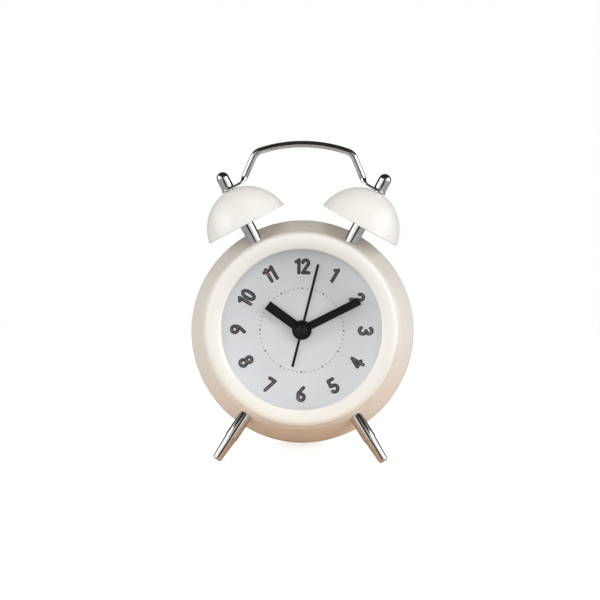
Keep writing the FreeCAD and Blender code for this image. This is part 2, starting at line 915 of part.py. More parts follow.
def strap(side, outward, direction):
    """The flat strap on one bell's top, rounded at its outer end and drilled for the stud."""
    half = strap_width / 2
    plate = Part.makeBox(strap_length, strap_width, strap_thickness, V(-strap_length, -half, 0))
    plate = joined(plate, Part.makeCylinder(half, strap_thickness))
    plate = plate.cut(Part.makeCylinder(stud_hole_radius, strap_thickness * 4, V(0, 0, -strap_thickness)))
    across = outward.cross(direction)
    spin = FreeCAD.Rotation(direction, across, outward, "ZXY")
    origin = polar(90 - side * bell_angle, strap_seat(), mounting_depth)
    plate.Placement = FreeCAD.Placement(origin, spin)
    return plate


def leg(side):
    """A turned leg: a stud into the drum, an upper barrel, a small shoulder and a tapered lower end."""
    angle = 270 + side * leg_angle
    start = shoulder_radius - 1
    round_share = 1 - math.sqrt(0.5)
    step = leg_step_distance - start
    length = leg_tip_distance - start
    shoulder = leg_upper_radius - leg_shoulder_round
    slope = (leg_lower_radius - leg_tip_radius) / (leg_tip_distance - leg_step_distance)
    tip_start = leg_tip_radius + slope * leg_tip_round
    body = turned(
        (0, 0),
        (leg_upper_radius, 0),
        (leg_upper_radius, step - leg_shoulder_round),
        (
            (leg_upper_radius - leg_shoulder_round * round_share, step - leg_shoulder_round * round_share),
            (shoulder, step),
        ),
        (leg_lower_radius, step),
        (tip_start, length - leg_tip_round),
        (
            (leg_tip_radius - leg_tip_round * round_share, length - leg_tip_round * round_share),
            (leg_tip_radius - leg_tip_round, length),
        ),
        (0, length),
    )
    body = outside_case(tilt_leg(aim(body, polar(angle, start, mounting_depth), polar(angle, 1))))
    stud = tilt_leg(radial_rod(stud_radius, angle, saddle_nut_reach, mounting_radius + leg_stud_lap))
    return joined(body, stud)


def saddle_nuts():
    """The nuts inside the drum on the studs of the posts and legs, shaped to the drum's slope."""
    inside = behind(drum_outline(case_wall + seat_gap, flange_back + seat_gap, case_back))
    corner = saddle_nut_flats / math.sqrt(3)
    nuts = []
    hexagon = [V(corner * math.cos(k * math.pi / 3), corner * math.sin(k * math.pi / 3), 0) for k in range(6)]
    face = Part.Face(Part.makePolygon(hexagon + hexagon[:1]))
    blank = face.extrude(V(0, 0, case_radius - saddle_nut_reach))
    for angle, lean in mountings():
        nut = lean(aim(blank, polar(angle, saddle_nut_reach, mounting_depth), polar(angle, 1)))
        bore = radial_rod(stud_radius + thread_fit, angle, saddle_nut_reach - 1, case_radius)
        nuts.append(nut.common(inside).cut(lean(bore)))
    return Part.makeCompound(nuts)


def box_outline(inset, front, back):
    """The movement box's rounded outline, shrunk by an inset, between two depths."""
    return rounded_block(
        (-box_half_width + inset, box_half_width - inset),
        (front, back),
        (box_bottom + inset, box_top - inset),
        max(box_corner - inset, box_inner_corner),
    )


def movement_front_plate():
    """The movement's front plate, with the bush through which the hand tubes come out."""
    plate = box_outline(0.0, dial_back, plate_back)
    plate = joined(plate, rod(bush_radius, bush_front, dial_back + join_overlap))
    plate = plate.cut(rod(bush_bore, bush_front - 1, plate_back + 1))
    pivot = rod(alarm_arbor_radius + running_fit, plate_back - pivot_length, plate_back + 1, alarm_place)
    plate = plate.cut(pivot)
    for where in column_places:
        plate = plate.cut(rod(box_screw_radius + running_fit, dial_back - 1, plate_back + 1, where))
    return plate


def board_boss_places():
    """Where the two posts under the circuit board stand."""
    middle_x = (board_left + board_right) / 2
    inset = stator_boss_radius + board_boss_margin
    return [(middle_x, board_bottom + inset), (middle_x, board_top - inset)]


def stator_boss_places():
    """Where the two posts under the stator stand: on its upper leg and at its lower corner."""
    x = stator_right() - stator_boss_inset
    low = rotor_place[1] - stator_below + stator_leg / 2 + loose_fit
    high = rotor_place[1] + stator_above - stator_leg / 2 - loose_fit
    return [(x, low), (x, high)]


def stator_right():
    """The right edge of the stator's upright, beyond the rotor's hole."""
    return rotor_place[0] + rotor_magnet_radius + rotor_air_gap + stator_neck


def coil_x():
    """The x of the coil's axis."""
    return rotor_place[0] + coil_offset


def movement_middle_plate():
    """The plate between the motion work and the train, with the bearings and the mounting posts."""
    inset = box_wall + running_fit * 2
    plate = box_outline(inset, middle_front, middle_back)
    posts = []
    for where, seat in post_seats():
        posts.append(rod(stator_boss_radius, middle_back - join_overlap, seat, where))
        posts.append(rod(stator_pin_radius, middle_back, seat + stator_thickness + running_fit * 4, where))
    plate = joined(plate, *posts)
    bearings = [
        (minute_tube_radius, axis_place),
        (arbor_radius, third_place),
        (arbor_radius, reduction_place),
        (arbor_radius, rotor_place),
        (motion_arbor_radius, motion_place),
        (alarm_arbor_radius, alarm_place),
    ]
    for radius, where in bearings:
        plate = plate.cut(rod(radius + running_fit, middle_front - 1, middle_back + 1, where))
    for where in column_places:
        plate = plate.cut(rod(column_radius + running_fit, middle_front - 1, middle_back + 1, where))
    return plate


def post_seats():
    """Each mounting post on the middle plate, with the depth of the piece that it carries."""
    seats = [(where, stator_front) for where in stator_boss_places()]
    return seats + [(where, stator_front) for where in board_boss_places()]


def movement_housing():
    """The movement's rear shell, with a screw column in each corner and the rear bearings."""
    shell = box_outline(0.0, plate_back, box_back).cut(box_outline(box_wall, plate_back - 1, box_inside))
    columns = []
    for where in column_places:
        columns.append(rod(column_radius, plate_back, box_back, where))
        columns.append(rod(column_foot_radius, middle_back, box_back, where))
    shell = joined(shell, *columns)
    for where in column_places:
        shell = shell.cut(rod(box_screw_radius + running_fit, plate_back - 1, box_back + 1, where))
    pivot_end = box_inside + pivot_length + 2 * running_fit
    for where in (axis_place, third_place, reduction_place, rotor_place):
        shell = shell.cut(rod(arbor_radius + running_fit, box_inside - 1, pivot_end, where))
    for radius, where in ((motion_arbor_radius, motion_place), (alarm_arbor_radius, alarm_place)):
        shell = shell.cut(rod(radius + running_fit, box_inside - 1, box_back + 1, where))
    port = rod(sound_hole_radius * 2, box_inside - 1, box_back + 1, (buzzer_x, buzzer_z))
    return shell.cut(port)


def movement_screws():
    """The four long screws that hold the movement together and to the dial."""
    reach = dial_back - box_screw_bite
    return Part.makeCompound(
        [
            slotted_screw(
                box_screw_head_radius,
                box_screw_head_height,
                box_screw_radius,
                box_back,
                reach,
                where,
            )
            for where in column_places
        ]
    )


def train_wheel(wheel, pinion, arbor_from, arbor_to, where):
    """A moulded wheel, pinion and arbor in one."""
    return joined(wheel, pinion, rod(arbor_radius, arbor_from, arbor_to, where))


def second_wheel():
    """The seconds wheel: its arbor runs through the centre to the seconds hand."""
    wheel = gear(second_module, second_wheel_teeth, second_layer, wheel_thickness, axis_place, second_turn)
    pinion_reach = second_layer - third_layer + join_overlap
    pinion = gear(third_module, second_pinion_teeth, third_layer, pinion_reach, axis_place, second_turn)
    return train_wheel(wheel, pinion, second_hand_front, box_inside + pivot_length, axis_place)


def third_wheel():
    """The wheel between the seconds and the minutes."""
    wheel = gear(third_module, third_wheel_teeth, third_layer, wheel_thickness, third_place, third_turn)
    pinion_reach = third_layer - centre_layer + join_overlap
    pinion = gear(centre_module, third_pinion_teeth, centre_layer, pinion_reach, third_place, third_turn)
    return train_wheel(wheel, pinion, middle_front + loose_fit, box_inside + pivot_length, third_place)


def reduction_wheel():
    """The first wheel behind the rotor."""
    wheel = gear(
        rotor_module, reduction_wheel_teeth, reduction_layer, wheel_thickness, reduction_place, reduction_turn
    )
    pinion_reach = reduction_layer - second_layer + join_overlap
    pinion = gear(
        second_module, reduction_pinion_teeth, second_layer, pinion_reach, reduction_place, reduction_turn
    )
    return train_wheel(wheel, pinion, middle_front + loose_fit, box_inside + pivot_length, reduction_place)


def rotor():
    """The stepping motor's magnet on its pinion."""
    pinion_reach = stator_front - reduction_layer
    pinion = gear(rotor_module, rotor_pinion_teeth, reduction_layer, pinion_reach, rotor_place, rotor_turn)
    magnet_front = stator_front + (stator_thickness - rotor_magnet_length) / 2
    magnet = rod(rotor_magnet_radius, magnet_front, magnet_front + rotor_magnet_length, rotor_place)
    return train_wheel(magnet, pinion, middle_front + loose_fit, box_inside + pivot_length, rotor_place)


def centre_wheel():
    """The minute wheel on its tube, with the cannon pinion that drives the motion work."""
    wheel = gear(centre_module, centre_wheel_teeth, centre_layer, wheel_thickness, axis_place, centre_turn)
    cannon = gear(motion_module, cannon_pinion_teeth, motion_layer, pinion_length, axis_place, centre_turn)
    tube = rod(minute_tube_radius, minute_hand_front, centre_layer + wheel_thickness)
    bore = rod(minute_bore, minute_hand_front - 1, centre_layer + wheel_thickness + 1)
    return joined(tube, wheel, cannon).cut(bore)


def motion_wheel():
    """The motion wheel and pinion on the arbor that the time-setting knob turns."""
    wheel = gear(motion_module, motion_wheel_teeth, motion_layer, wheel_thickness, motion_place, motion_turn)
    pinion_reach = motion_layer - hour_layer + join_overlap
    pinion = gear(hour_module, motion_pinion_teeth, hour_layer, pinion_reach, motion_place, motion_turn)
    arbor = rod(motion_arbor_radius, hour_layer, cover_face + knob_gap + knob_socket, motion_place)
    return joined(arbor, wheel, pinion)


def hour_wheel():
    """The hour wheel on its tube."""
    wheel = gear(hour_module, hour_wheel_teeth, hour_layer, wheel_thickness, axis_place, hour_turn)
    tube = rod(hour_tube_radius, hour_hand_front, hour_layer + wheel_thickness)
    return joined(tube, wheel).cut(rod(hour_bore, hour_hand_front - 1, hour_layer + wheel_thickness + 1))


def alarm_wheel():
    """The alarm wheel on its tube, with the cam hub that works the alarm contact."""
    wheel = gear(alarm_module, alarm_wheel_teeth, alarm_layer, wheel_thickness, axis_place, alarm_wheel_turn)
    tube = rod(alarm_tube_radius, alarm_hand_front, alarm_layer + wheel_thickness)
    return joined(tube, wheel).cut(rod(alarm_bore, alarm_hand_front - 1, alarm_layer + wheel_thickness + 1))


def alarm_set_arbor():
    """The arbor and pinion that turn the alarm wheel."""
    pinion = gear(alarm_module, alarm_pinion_teeth, alarm_layer, pinion_length, alarm_place, alarm_turn)
    front = plate_back - pivot_length + 2 * running_fit
    return joined(pinion, rod(alarm_arbor_radius, front, cover_face + knob_gap + knob_socket, alarm_place))


def knob(where, arbor):
    """A fluted setting knob pressed on an arbor."""
    front = cover_face + knob_gap
    back = front + knob_height
    body = rod(knob_radius, front, back, where)
    back_edges = [e for e in body.Edges if abs(e.BoundBox.YMin - back) < 1e-4]
    body = body.makeFillet(knob_edge_round, [e for e in back_edges if abs(e.BoundBox.YLength) < 1e-4])
    flutes = [
        rod(knob_flute_radius, front - 1, back + 1, place(360 * k / knob_flutes, knob_radius, where))
        for k in range(knob_flutes)
    ]
    body = body.cut(Part.makeCompound(flutes))
    return body.cut(rod(arbor + thread_fit, front - 1, front + knob_socket + running_fit, where))


def hand(width, reach, tail, angle, front, hub_radius, bore, hub_back):
    """A flat hand with square ends, a hub disc behind it and a bore for its tube."""
    blade = block((-width / 2, width / 2), (front, front + hand_thickness), (-tail, reach))
    blade.rotate(V(0, 0, 0), REARWARD, angle)
    hub = rod(hub_radius, front, hub_back)
    whole = joined(blade, hub)
    return whole.cut(rod(bore, front - 1, hub_back + 1)) if bore else whole


def second_hand():
    """The seconds hand with its tail and its domed cap."""
    back = second_hand_front + hub_height
    plain = hand(
        second_hand_width,
        second_hand_reach,
        second_hand_tail,
        second_hand_angle,
        second_hand_front,
        second_cap_radius,
        0.0,
        back,
    )
    foot = -join_overlap
    cap = turned((0, foot), (second_cap_radius, foot), cap_step(second_cap_radius, second_cap_height, foot))
    cap = aim(cap, V(0, second_hand_front, 0), -REARWARD)
    whole = joined(plain, cap)
    return whole.cut(rod(arbor_radius + thread_fit, second_hand_front - thread_fit, back + 1))


def minute_hand():
    """The minute hand."""
    back = minute_hand_front + hub_height
    bore = minute_tube_radius + thread_fit
    return hand(
        minute_hand_width,
        minute_hand_reach,
        0.0,
        minute_hand_angle,
        minute_hand_front,
        minute_hub_radius,
        bore,
        back,
    )


def hour_hand():
    """The hour hand."""
    back = hour_hand_front + hub_height
    bore = hour_tube_radius + thread_fit
    return hand(
        hour_hand_width, hour_hand_reach, 0.0, hour_hand_angle, hour_hand_front, hour_hub_radius, bore, back
    )


def alarm_hand():
    """The alarm hand, stored behind the hour hand."""
    back = alarm_hand_front + hand_thickness
    bore = alarm_tube_radius + thread_fit
    return hand(
        alarm_hand_width,
        alarm_hand_reach,
        0.0,
        hour_hand_angle,
        alarm_hand_front,
        alarm_hub_radius,
        bore,
        back,
    )


def stator():
    """The motor's C-shaped core: an upright round the rotor and two legs to the coil's bar."""
    left = rotor_place[0] - stator_left
    right = stator_right()
    tip = coil_x() + core_width / 2
    low = rotor_place[1] - stator_below
    high = rotor_place[1] + stator_above
    plate = prism(
        [
            (left, low),
            (tip, low),
            (tip, low + stator_leg),
            (right, low + stator_leg),
            (right, high - stator_leg),
            (tip, high - stator_leg),
            (tip, high),
            (left, high),
        ],
        stator_front,
        stator_front + stator_thickness,
    )
    plate = plate.cut(rod(rotor_magnet_radius + rotor_air_gap, stator_front - 1, core_front + 1, rotor_place))
    for where in stator_boss_places():
        hole = rod(stator_pin_radius + running_fit, stator_front - 1, core_front + 1, where)
        plate = plate.cut(hole)
    return plate


def coil_span():
    """The ends of the bobbin, between the stator's legs."""
    low = rotor_place[1] - stator_below + stator_leg + wheel_gap
    high = rotor_place[1] + stator_above - stator_leg - wheel_gap
    return (low, high)


def coil_core():
    """The bar through the coil, resting on the stator's two legs."""
    x = coil_x()
    return block(
        (x - core_width / 2, x + core_width / 2),
        (core_front, core_front + core_thickness),
        (rotor_place[1] - stator_below, rotor_place[1] + stator_above),
    )


def upright_rod(radius, low, high):
    """A round bar along Z on the coil's axis."""
    return Part.makeCylinder(radius, high - low, V(coil_x(), coil_depth, low), UP)


def bobbin_radius():
    """The radius that the winding is wound on."""
    return math.hypot(core_width, core_thickness) / 2 + bobbin_wall


def coil_bobbin():
    """The spool round the bar."""
    low, high = coil_span()
    spool = joined(
        upright_rod(bobbin_radius(), low, high),
        upright_rod(coil_radius, low, low + bobbin_flange),
        upright_rod(coil_radius, high - bobbin_flange, high),
    )
    half = core_width / 2 + running_fit
    hole = block(
        (coil_x() - half, coil_x() + half),
        (core_front - running_fit, core_front + core_thickness + running_fit),
        (low - 1, high + 1),
    )
    return spool.cut(hole)


def coil_winding():
    """The wound copper, as one ring between the spool's flanges."""
    low, high = coil_span()
    outer = upright_rod(coil_radius - running_fit * 2, low + bobbin_flange, high - bobbin_flange)
    return outer.cut(upright_rod(bobbin_radius() + thread_fit, low, high))


def circuit_board():
    """The board on its two posts."""
    back = stator_front + board_thickness
    board = block((board_left, board_right), (stator_front, back), (board_bottom, board_top))
    for where in board_boss_places():
        board = board.cut(rod(stator_pin_radius + running_fit, stator_front - 1, back + 1, where))
    return board


def control_chip():
    """The chip under its drop of resin, on the board's rear."""
    centre = ((board_left + board_right) / 2, (board_bottom + board_top) / 2)
    bead = behind(turned((0, 0), (chip_radius, 0), cap_step(chip_radius, chip_height)), centre)
    bead.translate(V(0, stator_front + board_thickness, 0))
    return bead


def quartz_crystal():
    """The crystal's small can, lying on the board's rear beside the chip."""
    x = board_left + crystal_radius + crystal_inset
    middle = (board_bottom + board_top) / 2
    depth = stator_front + board_thickness + crystal_radius + seat_gap
    return Part.makeCylinder(crystal_radius, crystal_length, V(x, depth, middle - crystal_length / 2), UP)


def buzzer():
    """The alarm's sounder, seated on the middle plate, with its port to the rear."""
    back = middle_back + buzzer_height
    can = rod(buzzer_radius, middle_back, back, (buzzer_x, buzzer_z))
    return can.cut(rod(buzzer_port_radius, back - buzzer_port_depth, back + 1, (buzzer_x, buzzer_z)))


def alarm_switch_body():
    """The slide switch's channel, against the inside of the back cover."""
    length, width, depth = slider_chamber()
    outer = block(
        (switch_x - length / 2 - switch_wall, switch_x + length / 2 + switch_wall),
        (cover_inside - depth - switch_wall, cover_inside),
        (switch_z - width / 2 - switch_wall, switch_z + width / 2 + switch_wall),
    )
    chamber = block(
        (switch_x - length / 2, switch_x + length / 2),
        (cover_inside - depth, cover_inside + 1),
        (switch_z - width / 2, switch_z + width / 2),
    )
    return outer.cut(chamber)


def slider_chamber():
    """The length, width and depth of the space in which the slider moves."""
    clearance = 2 * running_fit
    return (
        slider_length + switch_travel + 2 * clearance,
        slider_width + 2 * clearance,
        slider_height + 2 * clearance,
    )


def alarm_switch():
    """The slider, stored at the off end of its travel, with its ribbed thumb piece."""
    x = switch_x - switch_travel / 2
    back = cover_inside - 2 * running_fit
    base = block(
        (x - slider_length / 2, x + slider_length / 2),
        (back - slider_height, back),
        (switch_z - slider_width / 2, switch_z + slider_width / 2),
    )
    stem = block(
        (x - slider_stem_length / 2, x + slider_stem_length / 2),
        (back - join_overlap, cover_face + slider_stem_proud),
        (switch_z - slider_stem_width / 2, switch_z + slider_stem_width / 2),
    )
    return joined(base, stem)


def battery():
    """The AA cell lying across the clock, its positive end to the viewer's right."""
    right = bay_half_length() - contact_thickness - running_fit
    body_length = battery_length - battery_nub_length
    left = right - battery_length
    depth = battery_depth()
    rightward = V(1, 0, 0)
    body = Part.makeCylinder(battery_radius, body_length, V(left, depth, battery_z), rightward)
    body = body.makeFillet(battery_edge_round, [e for e in body.Edges if isinstance(e.Curve, Part.Circle)])
    nub_start = V(left + body_length - join_overlap, depth, battery_z)
    nub = Part.makeCylinder(battery_nub_radius, battery_nub_length + join_overlap, nub_start, rightward)
    return joined(body, nub)


def battery_contact_positive():
    """The flat contact at the battery's positive end."""
    right = bay_half_length()
    depth = battery_depth()
    return block(
        (right - contact_thickness, right),
        (depth - contact_width / 2, depth + contact_width / 2),
        (battery_z - contact_width / 2, battery_z + contact_width / 2),
    )


def battery_contact_negative():
    """The sprung contact at the negative end: a flat tab with a bowed blade that presses on the cell."""
    left = -bay_half_length()
    depth = battery_depth()
    half = contact_width / 2
    reach = spring_room - contact_thickness
    bow = half - contact_thickness
    base_x = left + contact_thickness

    def at(x, z):
        return V(x, depth - half, battery_z + z)

    front_arc = Part.Arc(at(base_x, -bow), at(base_x + reach, 0), at(base_x, bow)).toShape()
    back_arc = Part.Arc(
        at(base_x, -bow + contact_thickness),
        at(base_x + reach - contact_thickness, 0),
        at(base_x, bow - contact_thickness),
    ).toShape()
    ends = [
        Part.makeLine(at(base_x, -bow), at(base_x, -bow + contact_thickness)),
        Part.makeLine(at(base_x, bow), at(base_x, bow - contact_thickness)),
    ]
    face = Part.Face(Part.Wire(Part.__sortEdges__([front_arc, back_arc] + ends)))
    blade = face.extrude(V(0, contact_width, 0))
    tab = block(
        (left, base_x + join_overlap),
        (depth - half, depth + half),
        (battery_z - half, battery_z + half),
    )
    return joined(tab, blade)


def alarm_contact_spring():
    """The leaf on the front plate that feels the alarm wheel."""
    x = -(alarm_module * alarm_wheel_teeth / 2 + leaf_beyond)
    z = alarm_place[1] - leaf_below
    return block(
        (x - leaf_left, x + leaf_right),
        (plate_back, plate_back + leaf_thickness),
        (z - leaf_width / 2, z + leaf_width / 2),
    )


def nodes():
    """Every piece by its name, standing upright."""
    return {
        "case_shell": case_shell(),
        "bezel_ring": bezel_ring(),
        "lens": lens(),
        "dial_spacer_ring": dial_spacer_ring(),
        "dial_plate": dial_plate(),
        "back_cover": back_cover(),
        "back_cover_screws": back_cover_screws(),
        "battery_door": battery_door(),
        "bell_left": bell(-1),
        "bell_right": bell(1),
        "bell_post_left": bell_post(-1),
        "bell_post_right": bell_post(1),
        "bell_nut_left": bell_nut(-1),
        "bell_nut_right": bell_nut(1),
        "handle": handle(),
        "leg_left": leg(-1),
        "leg_right": leg(1),
        "saddle_nuts": saddle_nuts(),
        "movement_front_plate": movement_front_plate(),
        "movement_middle_plate": movement_middle_plate(),
        "movement_housing": movement_housing(),
        "movement_screws": movement_screws(),
        "second_wheel": second_wheel(),
        "third_wheel": third_wheel(),
        "centre_wheel": centre_wheel(),
        "motion_wheel": motion_wheel(),
        "hour_wheel": hour_wheel(),
        "alarm_wheel": alarm_wheel(),
        "alarm_contact_spring": alarm_contact_spring(),
        "alarm_set_arbor": alarm_set_arbor(),
        "reduction_wheel": reduction_wheel(),
        "rotor": rotor(),
        "stator": stator(),
        "coil_core": coil_core(),
        "coil_bobbin": coil_bobbin(),
        "coil_winding": coil_winding(),
        "circuit_board": circuit_board(),
        "control_chip": control_chip(),
        "quartz_crystal": quartz_crystal(),
        "buzzer": buzzer(),
        "time_set_knob": knob(motion_place, motion_arbor_radius),
        "alarm_set_knob": knob(alarm_place, alarm_arbor_radius),
        "alarm_switch": alarm_switch(),
        "alarm_switch_body": alarm_switch_body(),
        "battery": battery(),
        "battery_contact_positive": battery_contact_positive(),
        "battery_contact_negative": battery_contact_negative(),
        "second_hand": second_hand(),
        "minute_hand": minute_hand(),
        "hour_hand": hour_hand(),
        "alarm_hand": alarm_hand(),
    }


def stance():
    """The clock's lean in radians and the height of its axis' front end above the table.

    Leaning back by an angle moves "down" to (0, sin, -cos) in the upright drawing. The legs' rounded
    tips and the drum's rear edge each reach a furthest point that way, and the lean is the angle at
    which the two reaches are equal, found by halving an interval.
    """
    angle = 270 + leg_angle
    start = polar(angle, mounting_radius, mounting_depth)
    direction = FreeCAD.Rotation(V(1, 0, 0), -leg_tilt).multVec(polar(angle, 1))
    tip = start + direction * (leg_tip_distance - leg_tip_round - mounting_radius)
    flat = leg_tip_radius - leg_tip_round

    def leg_reach(lean):
        down = V(0, math.sin(lean), -math.cos(lean))
        along = direction.dot(down)
        return tip.dot(down) + flat * math.sqrt(1 - along**2) + leg_tip_round

    def edge_reach(lean, radius, back, corner):
        return (back - corner) * math.sin(lean) + (radius - corner) * math.cos(lean) + corner

    def rear_reach(lean):
        drum = edge_reach(lean, case_radius, case_back, case_edge_round)
        return max(drum, edge_reach(lean, cover_rim_radius, cover_back, cover_rim_round))

    low, high = 0.0, math.radians(45)
    for _ in range(60):
        middle = (low + high) / 2
        if leg_reach(middle) > rear_reach(middle):
            low = middle
        else:
            high = middle
    return (low, leg_reach(low))


def standing(pieces):
    """The pieces leaned back and set down, with the middle of their box over the origin."""
    lean, height = stance()
    tilt = FreeCAD.Placement(V(0, 0, height), FreeCAD.Rotation(V(1, 0, 0), -math.degrees(lean)))
    for piece in pieces.values():
        piece.Placement = tilt.multiply(piece.Placement)
    box = Part.makeCompound(list(pieces.values())).optimalBoundingBox(False, False)
    shift = V(-(box.XMin + box.XMax) / 2, -(box.YMin + box.YMax) / 2, -box.ZMin)
    for piece in pieces.values():
        piece.translate(shift)
    return pieces


def main():
    """Builds every piece and writes one file for each."""
    os.makedirs("parts", exist_ok=True)
    for name, piece in standing(nodes()).items():
        piece.exportStep(f"parts/{name}.step")


if __name__ == "__main__":
    main()
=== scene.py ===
"""A small twin-bell alarm clock: cream drum, two bells, wire handle and splayed chrome legs.

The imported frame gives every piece's place. The turned, bent and printed pieces that show are worked
out again here as smooth surfaces in the clock's own upright axes, in millimetres, and are then set
over the frame by the stance that the frame's joints give. Every other piece keeps its own mesh and
gets its finish.

The clock's own axes: x runs to the right, depth runs back from the front of the bezel along the
clock's axis, and height runs up the dial.
"""

from __future__ import annotations

import json  # noqa: E402
import logging  # noqa: E402
import math  # noqa: E402
from dataclasses import dataclass, field  # noqa: E402
from enum import Enum  # noqa: E402

import bpy  # noqa: E402
import numpy as np  # noqa: E402
from mathutils import Matrix, Vector  # noqa: E402

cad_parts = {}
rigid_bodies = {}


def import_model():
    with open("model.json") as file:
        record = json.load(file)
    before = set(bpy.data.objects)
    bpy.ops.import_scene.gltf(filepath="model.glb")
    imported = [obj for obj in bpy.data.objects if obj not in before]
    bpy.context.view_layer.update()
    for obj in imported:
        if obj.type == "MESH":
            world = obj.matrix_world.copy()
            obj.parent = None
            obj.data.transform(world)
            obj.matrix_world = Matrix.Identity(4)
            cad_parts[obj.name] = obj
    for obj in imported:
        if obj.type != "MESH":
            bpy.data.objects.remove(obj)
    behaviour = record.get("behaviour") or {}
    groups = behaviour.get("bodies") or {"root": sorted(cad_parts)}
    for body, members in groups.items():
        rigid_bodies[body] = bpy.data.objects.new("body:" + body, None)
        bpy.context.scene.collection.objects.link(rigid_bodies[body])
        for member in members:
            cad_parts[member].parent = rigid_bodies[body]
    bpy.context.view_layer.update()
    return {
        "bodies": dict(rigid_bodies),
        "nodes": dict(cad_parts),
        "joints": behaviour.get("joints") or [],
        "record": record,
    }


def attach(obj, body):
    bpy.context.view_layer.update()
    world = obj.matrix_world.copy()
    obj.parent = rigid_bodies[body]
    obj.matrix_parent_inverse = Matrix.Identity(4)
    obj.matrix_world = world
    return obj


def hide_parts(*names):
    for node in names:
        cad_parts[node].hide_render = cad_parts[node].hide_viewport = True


log = logging.getLogger("twin_bell_clock")

MILLIMETRE = 0.001


# Colours and small sums


def linear(red: float, green: float, blue: float) -> tuple[float, float, float, float]:
    """A display colour as light.

    Args:
        red: The red value, 0 to 255.
        green: The green value, 0 to 255.
        blue: The blue value, 0 to 255.

    Returns:
        The same colour as four linear values for a socket.
    """
    shown = np.array([red, green, blue], float) / 255.0
    light = np.where(shown <= 0.04045, shown / 12.92, ((shown + 0.055) / 1.055) ** 2.4)
    return (float(light[0]), float(light[1]), float(light[2]), 1.0)


def arc(centre: tuple[float, float], radius: float, start: float, end: float, steps: int) -> np.ndarray:
    """Points round a circle: centre plus radius times the cosine and sine of the angle.

    Args:
        centre: The circle's centre.
        radius: The circle's radius.
        start: The first angle, in degrees.
        end: The last angle, in degrees.
        steps: How many spans the arc is cut into.

    Returns:
        The points, both ends included.
    """
    turn = np.radians(np.linspace(start, end, steps + 1))
    return np.stack([centre[0] + radius * np.cos(turn), centre[1] + radius * np.sin(turn)], axis=1)


def softened(corners: list[tuple[float, float, float]], steps: int = 6, closed: bool = True) -> np.ndarray:
    """An outline whose corners are rounded, each by a circle that touches both of its sides.

    The circle's centre lies on the corner's bisector, at radius over the sine of half the corner's
    angle, and its touching points at radius over the tangent of that half.

    Args:
        corners: Each corner's two coordinates and the radius of its rounding.
        steps: How many spans each rounding has.
        closed: Whether the last corner joins the first.

    Returns:
        The outline's points in order.
    """
    places = np.array([c[:2] for c in corners], float)
    pieces: list[np.ndarray] = []
    for index, (x, y, radius) in enumerate(corners):
        at_end = not closed and index in (0, len(corners) - 1)
        if radius <= 0 or at_end:
            pieces.append(np.array([[x, y]]))
            continue
        here = places[index]
        before = places[index - 1] - here
        after = places[(index + 1) % len(corners)] - here
        before /= np.linalg.norm(before)
        after /= np.linalg.norm(after)
        half = math.acos(float(np.clip(before @ after, -1, 1))) / 2
        reach = radius / math.tan(half)
        bisector = (before + after) / np.linalg.norm(before + after)
        centre = here + bisector * radius / math.sin(half)
        first = here + before * reach - centre
        last = here + after * reach - centre
        share = np.linspace(0, 1, steps + 1)[:, None]
        blend = first * (1 - share) + last * share
        blend *= radius / np.linalg.norm(blend, axis=1, keepdims=True)
        pieces.append(centre + blend)
    return np.vstack(pieces)


# Surfaces


@dataclass
class Surface:
    """A mesh in the clock's own axes: points in millimetres and faces of three or more corners."""

    points: np.ndarray
    faces: list[np.ndarray] = field(default_factory=list)

    def outward(self) -> "Surface":
        """The same closed surface with its faces pointing out, by the sign of the volume inside it."""
        volume = 0.0
        for block in self.faces:
            first = self.points[block[:, 0]]
            for corner in range(1, block.shape[1] - 1):
                second = self.points[block[:, corner]]
                third = self.points[block[:, corner + 1]]
                volume += float(np.einsum("ij,ij->i", first, np.cross(second, third)).sum())
        if volume < 0:
            self.faces = [block[:, ::-1] for block in self.faces]
        return self

    def carried(self, points: np.ndarray) -> "Surface":
        """The same faces on other points."""
        return Surface(points, self.faces)

    @staticmethod
    def together(parts: list["Surface"]) -> "Surface":
        """Several surfaces as one mesh.

        Args:
            parts: The surfaces.

        Returns:
            One surface that holds them all.
        """
        faces: list[np.ndarray] = []
        start = 0
        for part in parts:
            faces += [block + start for block in part.faces]
            start += len(part.points)
        return Surface(np.vstack([part.points for part in parts]), faces)


def grid_faces(rows: int, columns: int, wrap_rows: bool, wrap_columns: bool) -> np.ndarray:
    """Four-cornered faces of a grid whose points are numbered row by row.

    Args:
        rows: How many rows of points there are.
        columns: How many points each row has.
        wrap_rows: Whether the last row joins the first.
        wrap_columns: Whether each row's last point joins its first.

    Returns:
        The faces as rows of four point numbers.
    """
    row = np.arange(rows if wrap_rows else rows - 1)[:, None]
    column = np.arange(columns if wrap_columns else columns - 1)[None, :]
    next_row = (row + 1) % rows
    next_column = (column + 1) % columns
    corners = [row * columns + column, row * columns + next_column]
    corners += [next_row * columns + next_column, next_row * columns + column]
    return np.stack([np.broadcast_to(c, corners[0].shape) for c in corners], axis=-1).reshape(-1, 4)


